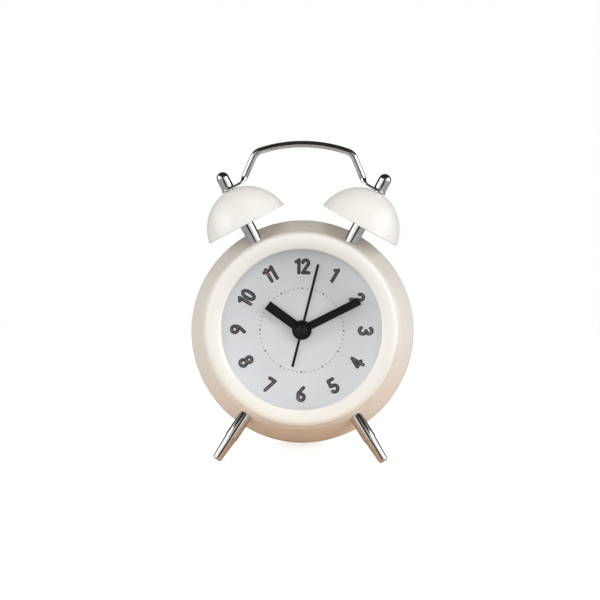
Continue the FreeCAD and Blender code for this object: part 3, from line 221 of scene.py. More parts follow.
def spun(outline: np.ndarray, segments: int, closed: bool = True) -> Surface:
    """A surface of revolution: each outline point (radius, height) goes round the third axis.

    The point at angle t is (radius cos t, radius sin t, height). An open outline starts and ends on
    the axis, and its ends become single points.

    Args:
        outline: The outline's points as radius and height.
        segments: How many spans go round.
        closed: Whether the outline joins itself.

    Returns:
        The closed surface.
    """
    turn = np.linspace(0, 2 * math.pi, segments, endpoint=False)
    rings = outline if closed else outline[1:-1]
    radius = rings[:, 0][:, None]
    height = np.broadcast_to(rings[:, 1][:, None], (len(rings), segments))
    points = np.stack([radius * np.cos(turn), radius * np.sin(turn), height], axis=-1).reshape(-1, 3)
    faces = [grid_faces(len(rings), segments, closed, True)]
    if not closed:
        count = len(points)
        ends = np.array([[0, 0, outline[0, 1]], [0, 0, outline[-1, 1]]], float)
        points = np.vstack([points, ends])
        ring = np.arange(segments)
        after = np.roll(ring, -1)
        last = (len(rings) - 1) * segments
        faces.append(np.stack([np.full(segments, count), after, ring], axis=1))
        faces.append(np.stack([np.full(segments, count + 1), last + ring, last + after], axis=1))
    return Surface(points, faces).outward()


def stacked(outline: np.ndarray, levels: list[tuple[float, float]]) -> Surface:
    """A plate: one closed convex outline repeated at several depths, each shrunk by its inset.

    An outline point moves inwards along the mean of its two sides' normals.

    Args:
        outline: The outline's points.
        levels: Each level's inset and depth, from one face to the other.

    Returns:
        The closed plate, with its outline in the first and third axes and depth in the second.
    """
    before = outline - np.roll(outline, 1, axis=0)
    after = np.roll(outline, -1, axis=0) - outline
    along = before / np.linalg.norm(before, axis=1, keepdims=True)
    along = along + after / np.linalg.norm(after, axis=1, keepdims=True)
    along /= np.linalg.norm(along, axis=1, keepdims=True)
    inward = np.stack([-along[:, 1], along[:, 0]], axis=1)
    middle = outline.mean(axis=0)
    if float(np.einsum("ij,ij->i", inward, middle - outline).sum()) < 0:
        inward = -inward
    rows = []
    for inset, depth in levels:
        flat = outline + inward * inset
        rows.append(np.stack([flat[:, 0], np.full(len(flat), depth), flat[:, 1]], axis=1))
    count = len(outline)
    faces = [grid_faces(len(levels), count, False, True)]
    faces.append(np.arange(count)[None, ::-1])
    faces.append((len(levels) - 1) * count + np.arange(count)[None, :])
    return Surface(np.vstack(rows), faces).outward()


class Stance:
    """Where the clock's own axes stand in the scene, read from the minutes joint.

    The joint turns about the clock's axis, and its anchor lies at a known depth on that axis.
    """

    anchor_depth = 20.0

    def __init__(self, joints: list[dict]) -> None:
        """Reads the clock's axis.

        Args:
            joints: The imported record's joints.
        """
        joint = next(j for j in joints if j["name"] == "minutes_spin")
        self.back = np.array(joint["axis"], float)
        self.back /= np.linalg.norm(self.back)
        self.right = np.array([1.0, 0.0, 0.0])
        self.up = np.cross(self.right, self.back)
        self.origin = np.array(joint["pos_m"], float) - self.back * self.anchor_depth * MILLIMETRE

    def to_scene(self, points: np.ndarray) -> np.ndarray:
        """Points of the clock's own axes, set into the scene.

        Args:
            points: Points as x, depth and height, in millimetres.

        Returns:
            The points in metres: the origin plus each coordinate along its own axis.
        """
        axes = np.stack([self.right, self.back, self.up])
        return self.origin + (points * MILLIMETRE) @ axes


@dataclass(frozen=True)
class Mounting:
    """A post's or leg's line: out from the clock's axis at an angle, then tilted forward."""

    angle: float
    tilt: float
    depth: float = 12.5
    distance: float = 40.0

    def tilted(self, points: np.ndarray) -> np.ndarray:
        """Points turned about the left-right line through the mounting.

        Args:
            points: Points in the clock's own axes.

        Returns:
            The turned points: depth' = d cos a - h sin a and height' = d sin a + h cos a, counted
            from that line.
        """
        turn = math.radians(self.tilt)
        height = self.distance * math.sin(math.radians(self.angle))
        deep = points[:, 1] - self.depth
        high = points[:, 2] - height
        turned = points.copy()
        turned[:, 1] = self.depth + deep * math.cos(turn) - high * math.sin(turn)
        turned[:, 2] = height + deep * math.sin(turn) + high * math.cos(turn)
        return turned

    def set_on(self, surface: Surface) -> Surface:
        """A turned piece stood on this line, its height counted from the clock's axis.

        Args:
            surface: A surface turned about its third axis.

        Returns:
            The surface in the clock's own axes.
        """
        turn = math.radians(self.angle)
        outward = np.array([math.cos(turn), 0.0, math.sin(turn)])
        across = np.array([0.0, 1.0, 0.0])
        side = np.cross(across, outward)
        points = surface.points @ np.stack([side, across, outward])
        points = points + np.array([0.0, self.depth, 0.0])
        return surface.carried(self.tilted(points)).outward()


def along_axis(surface: Surface, centre: tuple[float, float] = (0.0, 0.0)) -> Surface:
    """A turned piece laid along the clock's axis, so that its height becomes depth.

    Args:
        surface: A surface turned about its third axis.
        centre: The x and height of its own axis.

    Returns:
        The surface in the clock's own axes.
    """
    points = surface.points[:, [0, 2, 1]] + np.array([centre[0], 0.0, centre[1]])
    return surface.carried(points).outward()


# Finishes


class NodeBoard:
    """Places nodes in one tree and joins them by the names of their sockets."""

    def __init__(self, tree: bpy.types.NodeTree) -> None:
        """Keeps the tree.

        Args:
            tree: A material's or group's node tree.
        """
        self.tree = tree
        self.count = 0

    def add(self, kind: str, settings: dict | None = None, inputs: dict | None = None) -> bpy.types.Node:
        """Adds a node.

        Args:
            kind: The node's type.
            settings: Its properties, by name.
            inputs: Its input values, or the sockets that feed them, by name or number.

        Returns:
            The node.
        """
        node = self.tree.nodes.new(kind)
        node.location = (-220 * (self.count % 6), -180 * (self.count // 6))
        self.count += 1
        for name, value in (settings or {}).items():
            setattr(node, name, value)
        for name, value in (inputs or {}).items():
            socket = node.inputs[name]
            if isinstance(value, bpy.types.NodeSocket):
                self.tree.links.new(value, socket)
            else:
                socket.default_value = value
        return node


class SurfaceGroups:
    """The shader groups that several finishes share, each built once when it is first asked for."""

    def __init__(self) -> None:
        """Starts with no group built."""
        self.built: dict[str, bpy.types.NodeTree] = {}

    @staticmethod
    def _open(name: str, inputs: list[tuple[str, str]], outputs: list[tuple[str, str]]) -> bpy.types.NodeTree:
        """A new group with its sockets.

        Args:
            name: The group's name.
            inputs: Each input's name and socket type.
            outputs: Each output's name and socket type.

        Returns:
            The empty group.
        """
        group = bpy.data.node_groups.new(name, "ShaderNodeTree")
        for label, kind in inputs:
            group.interface.new_socket(name=label, in_out="INPUT", socket_type=kind)
        for label, kind in outputs:
            group.interface.new_socket(name=label, in_out="OUTPUT", socket_type=kind)
        return group

    def paint_film(self) -> bpy.types.NodeTree:
        """Sprayed paint: a broad tint, a fine orange peel, and a roughness that drifts a little.

        Returns:
            A group that puts out Colour, Roughness and Height.
        """
        if "paint_film" in self.built:
            return self.built["paint_film"]
        group = self._open(
            "paint_film",
            [
                ("Vector", "NodeSocketVector"),
                ("Paint", "NodeSocketColor"),
                ("Shade", "NodeSocketColor"),
                ("Tint Scale", "NodeSocketFloat"),
                ("Peel Scale", "NodeSocketFloat"),
                ("Smooth", "NodeSocketFloat"),
                ("Dull", "NodeSocketFloat"),
            ],
            [("Colour", "NodeSocketColor"), ("Roughness", "NodeSocketFloat"), ("Height", "NodeSocketFloat")],
        )
        board = NodeBoard(group)
        given = board.add("NodeGroupInput").outputs
        broad = board.add(
            "ShaderNodeTexNoise",
            None,
            {"Vector": given["Vector"], "Scale": given["Tint Scale"], "Detail": 3.0},
        )
        softened_tint = board.add(
            "ShaderNodeMapRange", None, {"Value": broad.outputs["Fac"], "From Min": 0.35, "From Max": 0.75}
        )
        colour = board.add(
            "ShaderNodeMix",
            {"data_type": "RGBA"},
            {0: softened_tint.outputs["Result"], 6: given["Paint"], 7: given["Shade"]},
        )
        peel = board.add(
            "ShaderNodeTexNoise",
            None,
            {"Vector": given["Vector"], "Scale": given["Peel Scale"], "Detail": 2.0},
        )
        specks = board.add(
            "ShaderNodeTexVoronoi", None, {"Vector": given["Vector"], "Scale": given["Peel Scale"]}
        )
        dust = board.add(
            "ShaderNodeMapRange",
            None,
            {
                "Value": specks.outputs["Distance"],
                "From Min": 0.0,
                "From Max": 0.12,
                "To Min": 0.25,
                "To Max": 0.0,
            },
        )
        height = board.add(
            "ShaderNodeMath", {"operation": "ADD"}, {0: peel.outputs["Fac"], 1: dust.outputs["Result"]}
        )
        rough = board.add(
            "ShaderNodeMapRange",
            None,
            {
                "Value": broad.outputs["Fac"],
                "From Min": 0.3,
                "From Max": 0.7,
                "To Min": given["Smooth"],
                "To Max": given["Dull"],
            },
        )
        board.add(
            "NodeGroupOutput",
            None,
            {"Colour": colour.outputs[2], "Roughness": rough.outputs["Result"], "Height": height.outputs[0]},
        )
        self.built["paint_film"] = group
        return group

    def moulded_skin(self) -> bpy.types.NodeTree:
        """Moulded plastic: a fine spark-eroded grain and faint flow marks in its colour.

        Returns:
            A group that puts out Colour, Roughness and Height.
        """
        if "moulded_skin" in self.built:
            return self.built["moulded_skin"]
        group = self._open(
            "moulded_skin",
            [
                ("Vector", "NodeSocketVector"),
                ("Plastic", "NodeSocketColor"),
                ("Flow", "NodeSocketColor"),
                ("Grain Scale", "NodeSocketFloat"),
                ("Smooth", "NodeSocketFloat"),
                ("Dull", "NodeSocketFloat"),
            ],
            [("Colour", "NodeSocketColor"), ("Roughness", "NodeSocketFloat"), ("Height", "NodeSocketFloat")],
        )
        board = NodeBoard(group)
        given = board.add("NodeGroupInput").outputs
        grain = board.add(
            "ShaderNodeTexVoronoi", None, {"Vector": given["Vector"], "Scale": given["Grain Scale"]}
        )
        pits = board.add(
            "ShaderNodeTexNoise",
            None,
            {"Vector": given["Vector"], "Scale": given["Grain Scale"], "Detail": 4.0},
        )
        height = board.add(
            "ShaderNodeMath",
            {"operation": "MULTIPLY"},
            {0: grain.outputs["Distance"], 1: pits.outputs["Fac"]},
        )
        flow = board.add(
            "ShaderNodeTexNoise", None, {"Vector": given["Vector"], "Scale": 60.0, "Distortion": 1.5}
        )
        colour = board.add(
            "ShaderNodeMix",
            {"data_type": "RGBA"},
            {0: flow.outputs["Fac"], 6: given["Plastic"], 7: given["Flow"]},
        )
        rough = board.add(
            "ShaderNodeMapRange",
            None,
            {"Value": pits.outputs["Fac"], "To Min": given["Smooth"], "To Max": given["Dull"]},
        )
        board.add(
            "NodeGroupOutput",
            None,
            {"Colour": colour.outputs[2], "Roughness": rough.outputs["Result"], "Height": height.outputs[0]},
        )
        self.built["moulded_skin"] = group
        return group

    def worked_metal(self) -> bpy.types.NodeTree:
        """Plated or drawn metal: hairline marks, small dull spots and a slight drift of colour.

        Returns:
            A group that puts out Colour, Roughness and Height.
        """
        if "worked_metal" in self.built:
            return self.built["worked_metal"]
        group = self._open(
            "worked_metal",
            [
                ("Vector", "NodeSocketVector"),
                ("Metal", "NodeSocketColor"),
                ("Tarnish", "NodeSocketColor"),
                ("Mark Scale", "NodeSocketFloat"),
                ("Smooth", "NodeSocketFloat"),
                ("Dull", "NodeSocketFloat"),
            ],
            [("Colour", "NodeSocketColor"), ("Roughness", "NodeSocketFloat"), ("Height", "NodeSocketFloat")],
        )
        board = NodeBoard(group)
        given = board.add("NodeGroupInput").outputs
        stretch = board.add(
            "ShaderNodeMapping", None, {"Vector": given["Vector"], "Scale": Vector((1.0, 1.0, 0.06))}
        )
        hairlines = board.add(
            "ShaderNodeTexNoise",
            None,
            {"Vector": stretch.outputs["Vector"], "Scale": given["Mark Scale"], "Detail": 4.0},
        )
        spots = board.add(
            "ShaderNodeTexNoise", None, {"Vector": given["Vector"], "Scale": 220.0, "Detail": 3.0}
        )
        tarnish = board.add(
            "ShaderNodeMapRange", None, {"Value": spots.outputs["Fac"], "From Min": 0.5, "From Max": 0.8}
        )
        colour = board.add(
            "ShaderNodeMix",
            {"data_type": "RGBA"},
            {0: tarnish.outputs["Result"], 6: given["Metal"], 7: given["Tarnish"]},
        )
        rough = board.add(
            "ShaderNodeMapRange",
            None,
            {
                "Value": spots.outputs["Fac"],
                "From Min": 0.3,
                "From Max": 0.75,
                "To Min": given["Smooth"],
                "To Max": given["Dull"],
            },
        )
        board.add(
            "NodeGroupOutput",
            None,
            {
                "Colour": colour.outputs[2],
                "Roughness": rough.outputs["Result"],
                "Height": hairlines.outputs["Fac"],
            },
        )
        self.built["worked_metal"] = group
        return group


class Skin(Enum):
    """The kinds of surface a finish is made with."""

    PAINT = "paint_film"
    PLASTIC = "moulded_skin"
    METAL = "worked_metal"


@dataclass(frozen=True)
class Finish:
    """One finish: its record slot, its kind, its two colours and how smooth and glossy it is."""

    slot: str
    skin: Skin
    colour: tuple[float, float, float]
    second: tuple[float, float, float]
    smooth: float
    dull: float
    relief: float = 0.02
    scale: float = 1800.0
    coat: float = 0.0
    specular: float = 0.5

    def build(self, groups: SurfaceGroups) -> bpy.types.Material:
        """Makes the finish's material.

        Args:
            groups: The shared shader groups.

        Returns:
            The material.
        """
        material = bpy.data.materials.new(self.slot)
        material.use_nodes = True
        tree = material.node_tree
        tree.nodes.clear()
        board = NodeBoard(tree)
        place = board.add("ShaderNodeTexCoord").outputs["Object"]
        maker = {
            Skin.PAINT: groups.paint_film,
            Skin.PLASTIC: groups.moulded_skin,
            Skin.METAL: groups.worked_metal,
        }[self.skin]
        names = {
            Skin.PAINT: ("Paint", "Shade", "Peel Scale"),
            Skin.PLASTIC: ("Plastic", "Flow", "Grain Scale"),
            Skin.METAL: ("Metal", "Tarnish", "Mark Scale"),
        }[self.skin]
        inputs = {
            "Vector": place,
            names[0]: linear(*self.colour),
            names[1]: linear(*self.second),
            names[2]: self.scale,
            "Smooth": self.smooth,
            "Dull": self.dull,
        }
        if self.skin is Skin.PAINT:
            inputs["Tint Scale"] = 26.0
        film = board.add("ShaderNodeGroup", {"node_tree": maker()}, inputs)
        bump = board.add(
            "ShaderNodeBump",
            None,
            {"Height": film.outputs["Height"], "Strength": self.relief, "Distance": 0.0002},
        )
        shader = board.add(
            "ShaderNodeBsdfPrincipled",
            None,
            {
                "Base Color": film.outputs["Colour"],
                "Roughness": film.outputs["Roughness"],
                "Normal": bump.outputs["Normal"],
                "Metallic": 1.0 if self.skin is Skin.METAL else 0.0,
                "Specular IOR Level": self.specular,
                "Coat Weight": self.coat,
                "Coat Roughness": 0.12,
            },
        )
        board.add("ShaderNodeOutputMaterial", None, {"Surface": shader.outputs[0]})
        return material


class Lens:
    """The clear lens' finish: glass to the eye, and open to the light that reaches the dial."""

    slot = "clear_lens"

    def build(self) -> bpy.types.Material:
        """Makes the lens' material.

        Returns:
            The material: clear glass, with shadow, diffuse and glossy rays let straight through.
        """
        material = bpy.data.materials.new(self.slot)
        material.use_nodes = True
        tree = material.node_tree
        tree.nodes.clear()
        board = NodeBoard(tree)
        place = board.add("ShaderNodeTexCoord").outputs["Object"]
        waves = board.add("ShaderNodeTexNoise", None, {"Vector": place, "Scale": 30.0, "Detail": 1.0})
        bump = board.add(
            "ShaderNodeBump", None, {"Height": waves.outputs["Fac"], "Strength": 0.01, "Distance": 0.0005}
        )
        glass = board.add(
            "ShaderNodeBsdfPrincipled",
            None,
            {
                "Base Color": (1.0, 1.0, 1.0, 1.0),
                "Roughness": 0.0,
                "IOR": 1.45,
                "Transmission Weight": 1.0,
                "Normal": bump.outputs["Normal"],
            },
        )
        clear = board.add("ShaderNodeBsdfTransparent")
        ray = board.add("ShaderNodeLightPath").outputs
        passed = ray["Is Shadow Ray"]
        for kind in ("Is Diffuse Ray", "Is Glossy Ray"):
            larger = board.add("ShaderNodeMath", {"operation": "MAXIMUM"}, {0: passed, 1: ray[kind]})
            passed = larger.outputs[0]
        mixed = board.add("ShaderNodeMixShader", None, {0: passed, 1: glass.outputs[0], 2: clear.outputs[0]})
        board.add("ShaderNodeOutputMaterial", None, {"Surface": mixed.outputs[0]})
        return material


class InkTint(Enum):
    """The muted colours of the numerals' inlay."""

    TEAL = (76, 96, 97)
    CLARET = (106, 68, 78)
    SALMON = (156, 118, 114)
    OLIVE = (90, 90, 76)
    SLATE = (86, 92, 105)


FINISHES = [
    Finish("cream_paint", Skin.PAINT, (236, 231, 223), (232, 226, 217), 0.34, 0.44, 0.03, 2600.0, 0.15),
    Finish("bezel_paint", Skin.PAINT, (243, 242, 236), (240, 238, 232), 0.36, 0.44, 0.02, 2600.0, 0.1),
    Finish("bell_paint", Skin.PAINT, (242, 241, 237), (238, 236, 231), 0.34, 0.42, 0.03, 2600.0, 0.15),
    Finish("white_plastic", Skin.PLASTIC, (232, 234, 234), (228, 230, 231), 0.45, 0.6),
    Finish("dial_white", Skin.PAINT, (226, 229, 234), (223, 226, 231), 0.55, 0.7, 0.02, 4200.0),
    Finish("back_plastic", Skin.PLASTIC, (234, 230, 222), (229, 224, 215), 0.42, 0.58, 0.12, 1500.0),
    Finish("zinc_screw", Skin.METAL, (176, 178, 182), (140, 140, 142), 0.25, 0.42, 0.05, 3000.0),
    Finish("chrome", Skin.METAL, (214, 212, 210), (200, 197, 194), 0.05, 0.1, 0.004, 3000.0),
    Finish("black_plastic", Skin.PLASTIC, (34, 34, 36), (28, 28, 30), 0.4, 0.55, 0.08, 1600.0),
    Finish("natural_plastic", Skin.PLASTIC, (226, 221, 206), (218, 212, 196), 0.35, 0.5, 0.05, 1800.0),
    Finish("brass_leaf", Skin.METAL, (206, 172, 96), (178, 140, 76), 0.22, 0.38, 0.05, 3000.0),
    Finish("magnet", Skin.METAL, (92, 90, 92), (70, 68, 70), 0.4, 0.55, 0.05, 2400.0),
    Finish("soft_iron", Skin.METAL, (150, 150, 152), (120, 118, 116), 0.35, 0.5, 0.05, 2800.0),
    Finish("copper_winding", Skin.METAL, (196, 112, 72), (160, 84, 54), 0.28, 0.4, 0.2, 5200.0),
    Finish("board_green", Skin.PLASTIC, (36, 92, 60), (28, 78, 50), 0.35, 0.5, 0.06, 900.0),
    Finish("steel_can", Skin.METAL, (190, 192, 196), (160, 160, 164), 0.18, 0.3, 0.03, 2600.0),
    Finish("knob_plastic", Skin.PLASTIC, (40, 40, 42), (34, 34, 36), 0.36, 0.5, 0.08, 1600.0),
    Finish("battery_jacket", Skin.PLASTIC, (58, 84, 120), (50, 74, 108), 0.25, 0.35, 0.02, 1200.0, 0.3),
    Finish("contact_plate", Skin.METAL, (204, 202, 192), (176, 172, 160), 0.18, 0.3, 0.04, 3200.0),
    Finish("hand_black", Skin.PAINT, (20, 21, 23), (17, 18, 20), 0.34, 0.46, 0.02, 3200.0, 0.0, 0.25),
]

INKS = {
    "outline_ink": Finish("outline_ink", Skin.PAINT, (44, 44, 50), (38, 38, 44), 0.5, 0.62, 0.02, 5000.0),
    "dot_ink": Finish("dot_ink", Skin.PAINT, (160, 167, 186), (152, 160, 178), 0.55, 0.65, 0.02, 5000.0),
    "mark_ink": Finish("mark_ink", Skin.PAINT, (104, 106, 122), (96, 98, 114), 0.55, 0.65, 0.02, 5000.0),
}


class Workshop:
    """Holds the frame, the stance and the finishes, and turns surfaces into pieces."""

    def __init__(self, frame: dict) -> None:
        """Builds the finishes and reads the stance.
        """
        self.frame = frame
        self.stance = Stance(frame["joints"])
        self.groups = SurfaceGroups()
        self.slots = {row["slot"] for row in frame["record"]["materials"]}
        self.finishes = {finish.slot: finish.build(self.groups) for finish in FINISHES}
        self.finishes[Lens.slot] = Lens().build()
        for name, ink in INKS.items():
            self.finishes[name] = ink.build(self.groups)
        for tint in InkTint:
            name = f"{tint.name.lower()}_ink"
            shade = tuple(value * 0.94 for value in tint.value)
            ink = Finish(name, Skin.PAINT, tint.value, shade, 0.5, 0.62, 0.02, 5000.0)
            self.finishes[name] = ink.build(self.groups)

    def piece(
        self,
        name: str,
        surface: Surface,
        finishes: list[str],
        body: str,
        stands_for: tuple[str, ...] = (),
        face_finish: np.ndarray | None = None,
        crease: float = 32.0,
    ) -> bpy.types.Object:
        """Makes one piece and has it ride on its body.

        Args:
            name: The piece's name.
            surface: Its surface in the clock's own axes.
            finishes: The names of its finishes.
            body: The body that it moves with.
            stands_for: The frame's nodes that it takes the place of.
            face_finish: Which of its finishes each face has, if it has more than one.
            crease: The angle in degrees above which an edge stays sharp.

        Returns:
            The piece.
        """
        mesh = bpy.data.meshes.new(name)
        points = self.stance.to_scene(surface.points)
        faces = [row for block in surface.faces for row in block.tolist()]
        mesh.from_pydata(points.tolist(), [], faces)
        for finish in finishes:
            mesh.materials.append(self.finishes[finish])
        if face_finish is not None:
            mesh.polygons.foreach_set("material_index", face_finish.astype(np.int32))
        mesh.polygons.foreach_set("use_smooth", np.ones(len(mesh.polygons), dtype=bool))
        mesh.set_sharp_from_angle(angle=math.radians(crease))
        mesh.validate()
        mesh.update()
        made = bpy.data.objects.new(name, mesh)
        bpy.context.scene.collection.objects.link(made)
        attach(made, body)
        if stands_for:
            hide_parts(*stands_for)
        log.info("%s: %d faces on %s", name, len(faces), body)
        return made

    def dress_frame(self) -> None:
        """Gives every node of the frame that still shows the finish of its slot."""
        for row in self.frame["record"]["subparts"]:
            node = self.frame["nodes"][row["node"]]
            node.data.materials.clear()
            node.data.materials.append(self.finishes[row["material_slot"]])
            log.info("%s: finish %s", row["node"], row["material_slot"])


# Sub-assemblies


@dataclass
class Drum:
    """The pressed case with its flared shoulder, and the moulded ring between the lens and the dial."""

    radius: float = 44.0
    shoulder: float = 38.6
    flare: float = 43.0
    flare_length: float = 10.5
    blend: float = 4.5
    front: float = 9.0
    back: float = 46.0
    wall: float = 0.8
    opening: float = 36.25
    spacer_outer: float = 35.5
    spacer_inner: float = 31.4
    lens_back: float = 5.4
    dial_depth: float = 12.0
    segments: int = 256

    def side(self, inset: float, front: float) -> np.ndarray:
        """The drum's side from its shoulder to its barrel, shrunk by an inset.

        A straight flare meets a circle that touches the barrel.

        Args:
            inset: How far the side lies inside the outer surface.
            front: The depth at which it starts.

        Returns:
            Points as radius and depth.
        """
        rise = self.radius - self.flare
        blend_radius = (rise**2 + self.blend**2) / (2 * rise)
        centre = (self.radius - blend_radius, self.front + self.flare_length + self.blend)
        turn = math.degrees(math.asin(self.blend / blend_radius))
        bend = arc(centre, blend_radius - inset, -turn, 0.0, 12)
        slope = (self.flare - self.shoulder) / self.flare_length
        start_depth = front
        start_radius = bend[0, 0] - slope * (bend[0, 1] - start_depth)
        return np.vstack([[start_radius, start_depth], bend])

    def shell(self) -> Surface:
        """The case: its outer side, its rounded rear edge, its inner side and its front flange."""
        outer = self.side(0.0, self.front)
        inner = self.side(self.wall, self.front + self.wall)
        edge = 0.38
        shoulder = softened(
            [
                (self.opening, self.front, 0.0),
                (outer[0, 0], self.front, 0.5),
                (outer[1, 0], outer[1, 1], 0.0),
            ],
            closed=False,
        )
        rear = softened(
            [
                (self.radius, self.back - 3, 0.0),
                (self.radius, self.back, edge),
                (self.radius - self.wall, self.back, edge),
                (self.radius - self.wall, self.back - 3, 0.0),
            ],
            closed=False,
        )
        outline = np.vstack([shoulder[:-1], outer[1:], rear, inner[::-1], [[self.opening, inner[0, 1]]]])
        return along_axis(spun(outline, self.segments))

    def spacer(self) -> Surface:
        """The ring that shows as the dial's inner wall, with its front edge eased."""
        outline = softened(
            [
                (self.spacer_inner, self.lens_back, 0.15),
                (self.spacer_outer, self.lens_back, 0.0),
                (self.spacer_outer, self.dial_depth, 0.0),
                (self.spacer_inner, self.dial_depth, 0.0),
            ]
        )
        return along_axis(spun(outline, self.segments))

    def build(self, shop: Workshop) -> None:
        """Makes the drum's pieces.

        Args:
            shop: The workshop.
        """
        shop.piece("case_drum", self.shell(), ["cream_paint"], "case", ("case_shell",), crease=40.0)
        shop.piece("dial_wall", self.spacer(), ["white_plastic"], "case", ("dial_spacer_ring",))


@dataclass
class Bezel:
    """The rounded moulding round the lens."""

    radius: float = 37.8
    depth: float = 9.0
    opening: float = 31.4
    outer_round: float = 2.2
    inner_drop: float = 1.4
    skirt: float = 2.2
    tongue: float = 0.6
    tongue_length: float = 1.4
    lens_depth: float = 4.2
    lens_back: float = 5.4
    pocket: float = 33.6
    segments: int = 256

    def ring(self) -> Surface:
        """The moulding: a crowned face, a rounded outer edge, and the seats behind it.

        The crown is a circle that is level at the crest and drops towards the opening.
        """
        crest = self.radius - self.outer_round
        span = crest - self.opening
        sweep = (span**2 + self.inner_drop**2) / (2 * self.inner_drop)
        reach = math.degrees(math.asin(span / sweep))
        crown = arc((crest, sweep), sweep, -90.0 - reach, -90.0, 14)
        edge = arc((crest, self.outer_round), self.outer_round, -90.0, 0.0, 12)[1:]
        inner = self.radius - self.skirt
        ease = 0.25
        lip = softened(
            [
                (self.opening, self.lens_depth, 0.0),
                (self.opening, crown[0, 1], ease),
                tuple(crown[3]) + (0.0,),
            ],
            closed=False,
        )[1:-1]
        rest = np.array(
            [
                [self.radius, self.depth],
                [inner + self.tongue, self.depth],
                [inner + self.tongue, self.depth + self.tongue_length],
                [inner, self.depth + self.tongue_length],
                [inner, self.lens_back],
                [self.pocket, self.lens_back],
                [self.pocket, self.lens_depth],
                [self.opening, self.lens_depth],
            ]
        )
        return along_axis(spun(np.vstack([lip, crown[2:], edge, rest]), self.segments))

    def build(self, shop: Workshop) -> None:
        """Makes the bezel.

        Args:
            shop: The workshop.
        """
        shop.piece("bezel_moulding", self.ring(), ["bezel_paint"], "case", ("bezel_ring",), crease=40.0)


@dataclass
class BellSet:
    """The two bells on their posts, under their domed nuts."""

    angle: float = 28.2
    tilt: float = 5.0
    rim_distance: float = 47.0
    radius: float = 16.5
    height: float = 14.9
    wall: float = 0.9
    side_slope: float = 8.5
    post_radius: float = 2.75
    post_start: float = 38.2
    stud_radius: float = 1.5
    stud_start: float = 36.5
    strap: float = 1.0
    gap: float = 0.03
    nut_radius: float = 2.5
    nut_height: float = 6.8
    segments: int = 160

    def ellipse(self, inset: float, steps: int) -> np.ndarray:
        """A bell's curve from its rim to its hole, as radius and height above the rim.

        The ellipse starts at the rim with the side's slope and is level at the top.

        Args:
            inset: How far the curve lies inside the outer surface.
            steps: How many spans it has.

        Returns:
            The curve's points.
        """
        slope = math.tan(math.radians(self.side_slope))
        below = slope * self.height**2 / (self.radius - 2 * slope * self.height)
        tall = self.height + below
        wide = self.radius / math.sqrt(1 - (below / tall) ** 2) - inset
        tall -= inset
        start = math.asin((0.0 + below) / tall)
        stop = math.acos(1.6 / wide)
        turn = np.linspace(start, stop, steps + 1)
        return np.stack([wide * np.cos(turn), tall * np.sin(turn) - below], axis=1)

    def bell(self) -> Surface:
        """One bell standing on its rim, with the rim's edge rounded over."""
        outer = self.ellipse(0.0, 40)
        inner = self.ellipse(self.wall, 32)
        half = self.wall / 2
        middle = (outer[0] + inner[0]) / 2
        rim = arc((float(middle[0]), half), half, 180.0, 360.0, 10)
        keep_outer = outer[outer[:, 1] > half]
        keep_inner = inner[inner[:, 1] > half]
        return spun(np.vstack([keep_inner[::-1], rim, keep_outer]), self.segments)

    def post(self) -> Surface:
        """A post with its shoulder under the bell and its stud through both ends."""
        inner = self.ellipse(self.wall, 200)
        reach = float(np.interp(-self.post_radius, -inner[:, 0], inner[:, 1]))
        top = self.rim_distance + reach - self.gap
        end = self.rim_distance + self.height + self.gap + self.strap + self.gap + 4.2
        corners = [
            (0.0, self.stud_start, 0.0),
            (self.stud_radius, self.stud_start, 0.1),
            (self.stud_radius, self.post_start, 0.0),
            (self.post_radius, self.post_start, 0.1),
            (self.post_radius, top, 0.2),
            (self.stud_radius, top, 0.0),
            (self.stud_radius, end, 0.2),
            (0.0, end, 0.0),
        ]
        return spun(softened(corners, closed=False), 64, closed=False)

    def nut(self) -> Surface:
        """A domed nut with an eased foot and the blind bore for its stud."""
        straight = self.nut_height - self.nut_radius
        foot = softened(
            [(1.52, 0.0, 0.0), (self.nut_radius, 0.0, 0.3), (self.nut_radius, straight, 0.0)], closed=False
        )
        dome = arc((0.0, straight), self.nut_radius, 0.0, 90.0, 20)[1:]
        dome[-1, 0] = 0.0
        bore = np.array([[0.0, 4.4], [1.52, 4.4]])
        return spun(np.vstack([bore, foot, dome]), 72, closed=False)

    def build(self, shop: Workshop) -> None:
        """Makes both bells, posts and nuts.

        Args:
            shop: The workshop.
        """
        seat = self.rim_distance + self.height + 2 * self.gap + self.strap
        for side, word in ((-1, "left"), (1, "right")):
            mount = Mounting(90.0 - side * self.angle, self.tilt)
            rows = [
                (f"{word}_bell_shell", self.bell(), self.rim_distance, "bell_paint", f"bell_{word}"),
                (f"{word}_bell_stem", self.post(), 0.0, "chrome", f"bell_post_{word}"),
                (f"{word}_domed_nut", self.nut(), seat, "chrome", f"bell_nut_{word}"),
            ]
            for name, surface, lift, finish, node in rows:
                lifted = surface.carried(surface.points + np.array([0.0, 0.0, lift]))
                shop.piece(name, mount.set_on(lifted), [finish], "case", (node,))


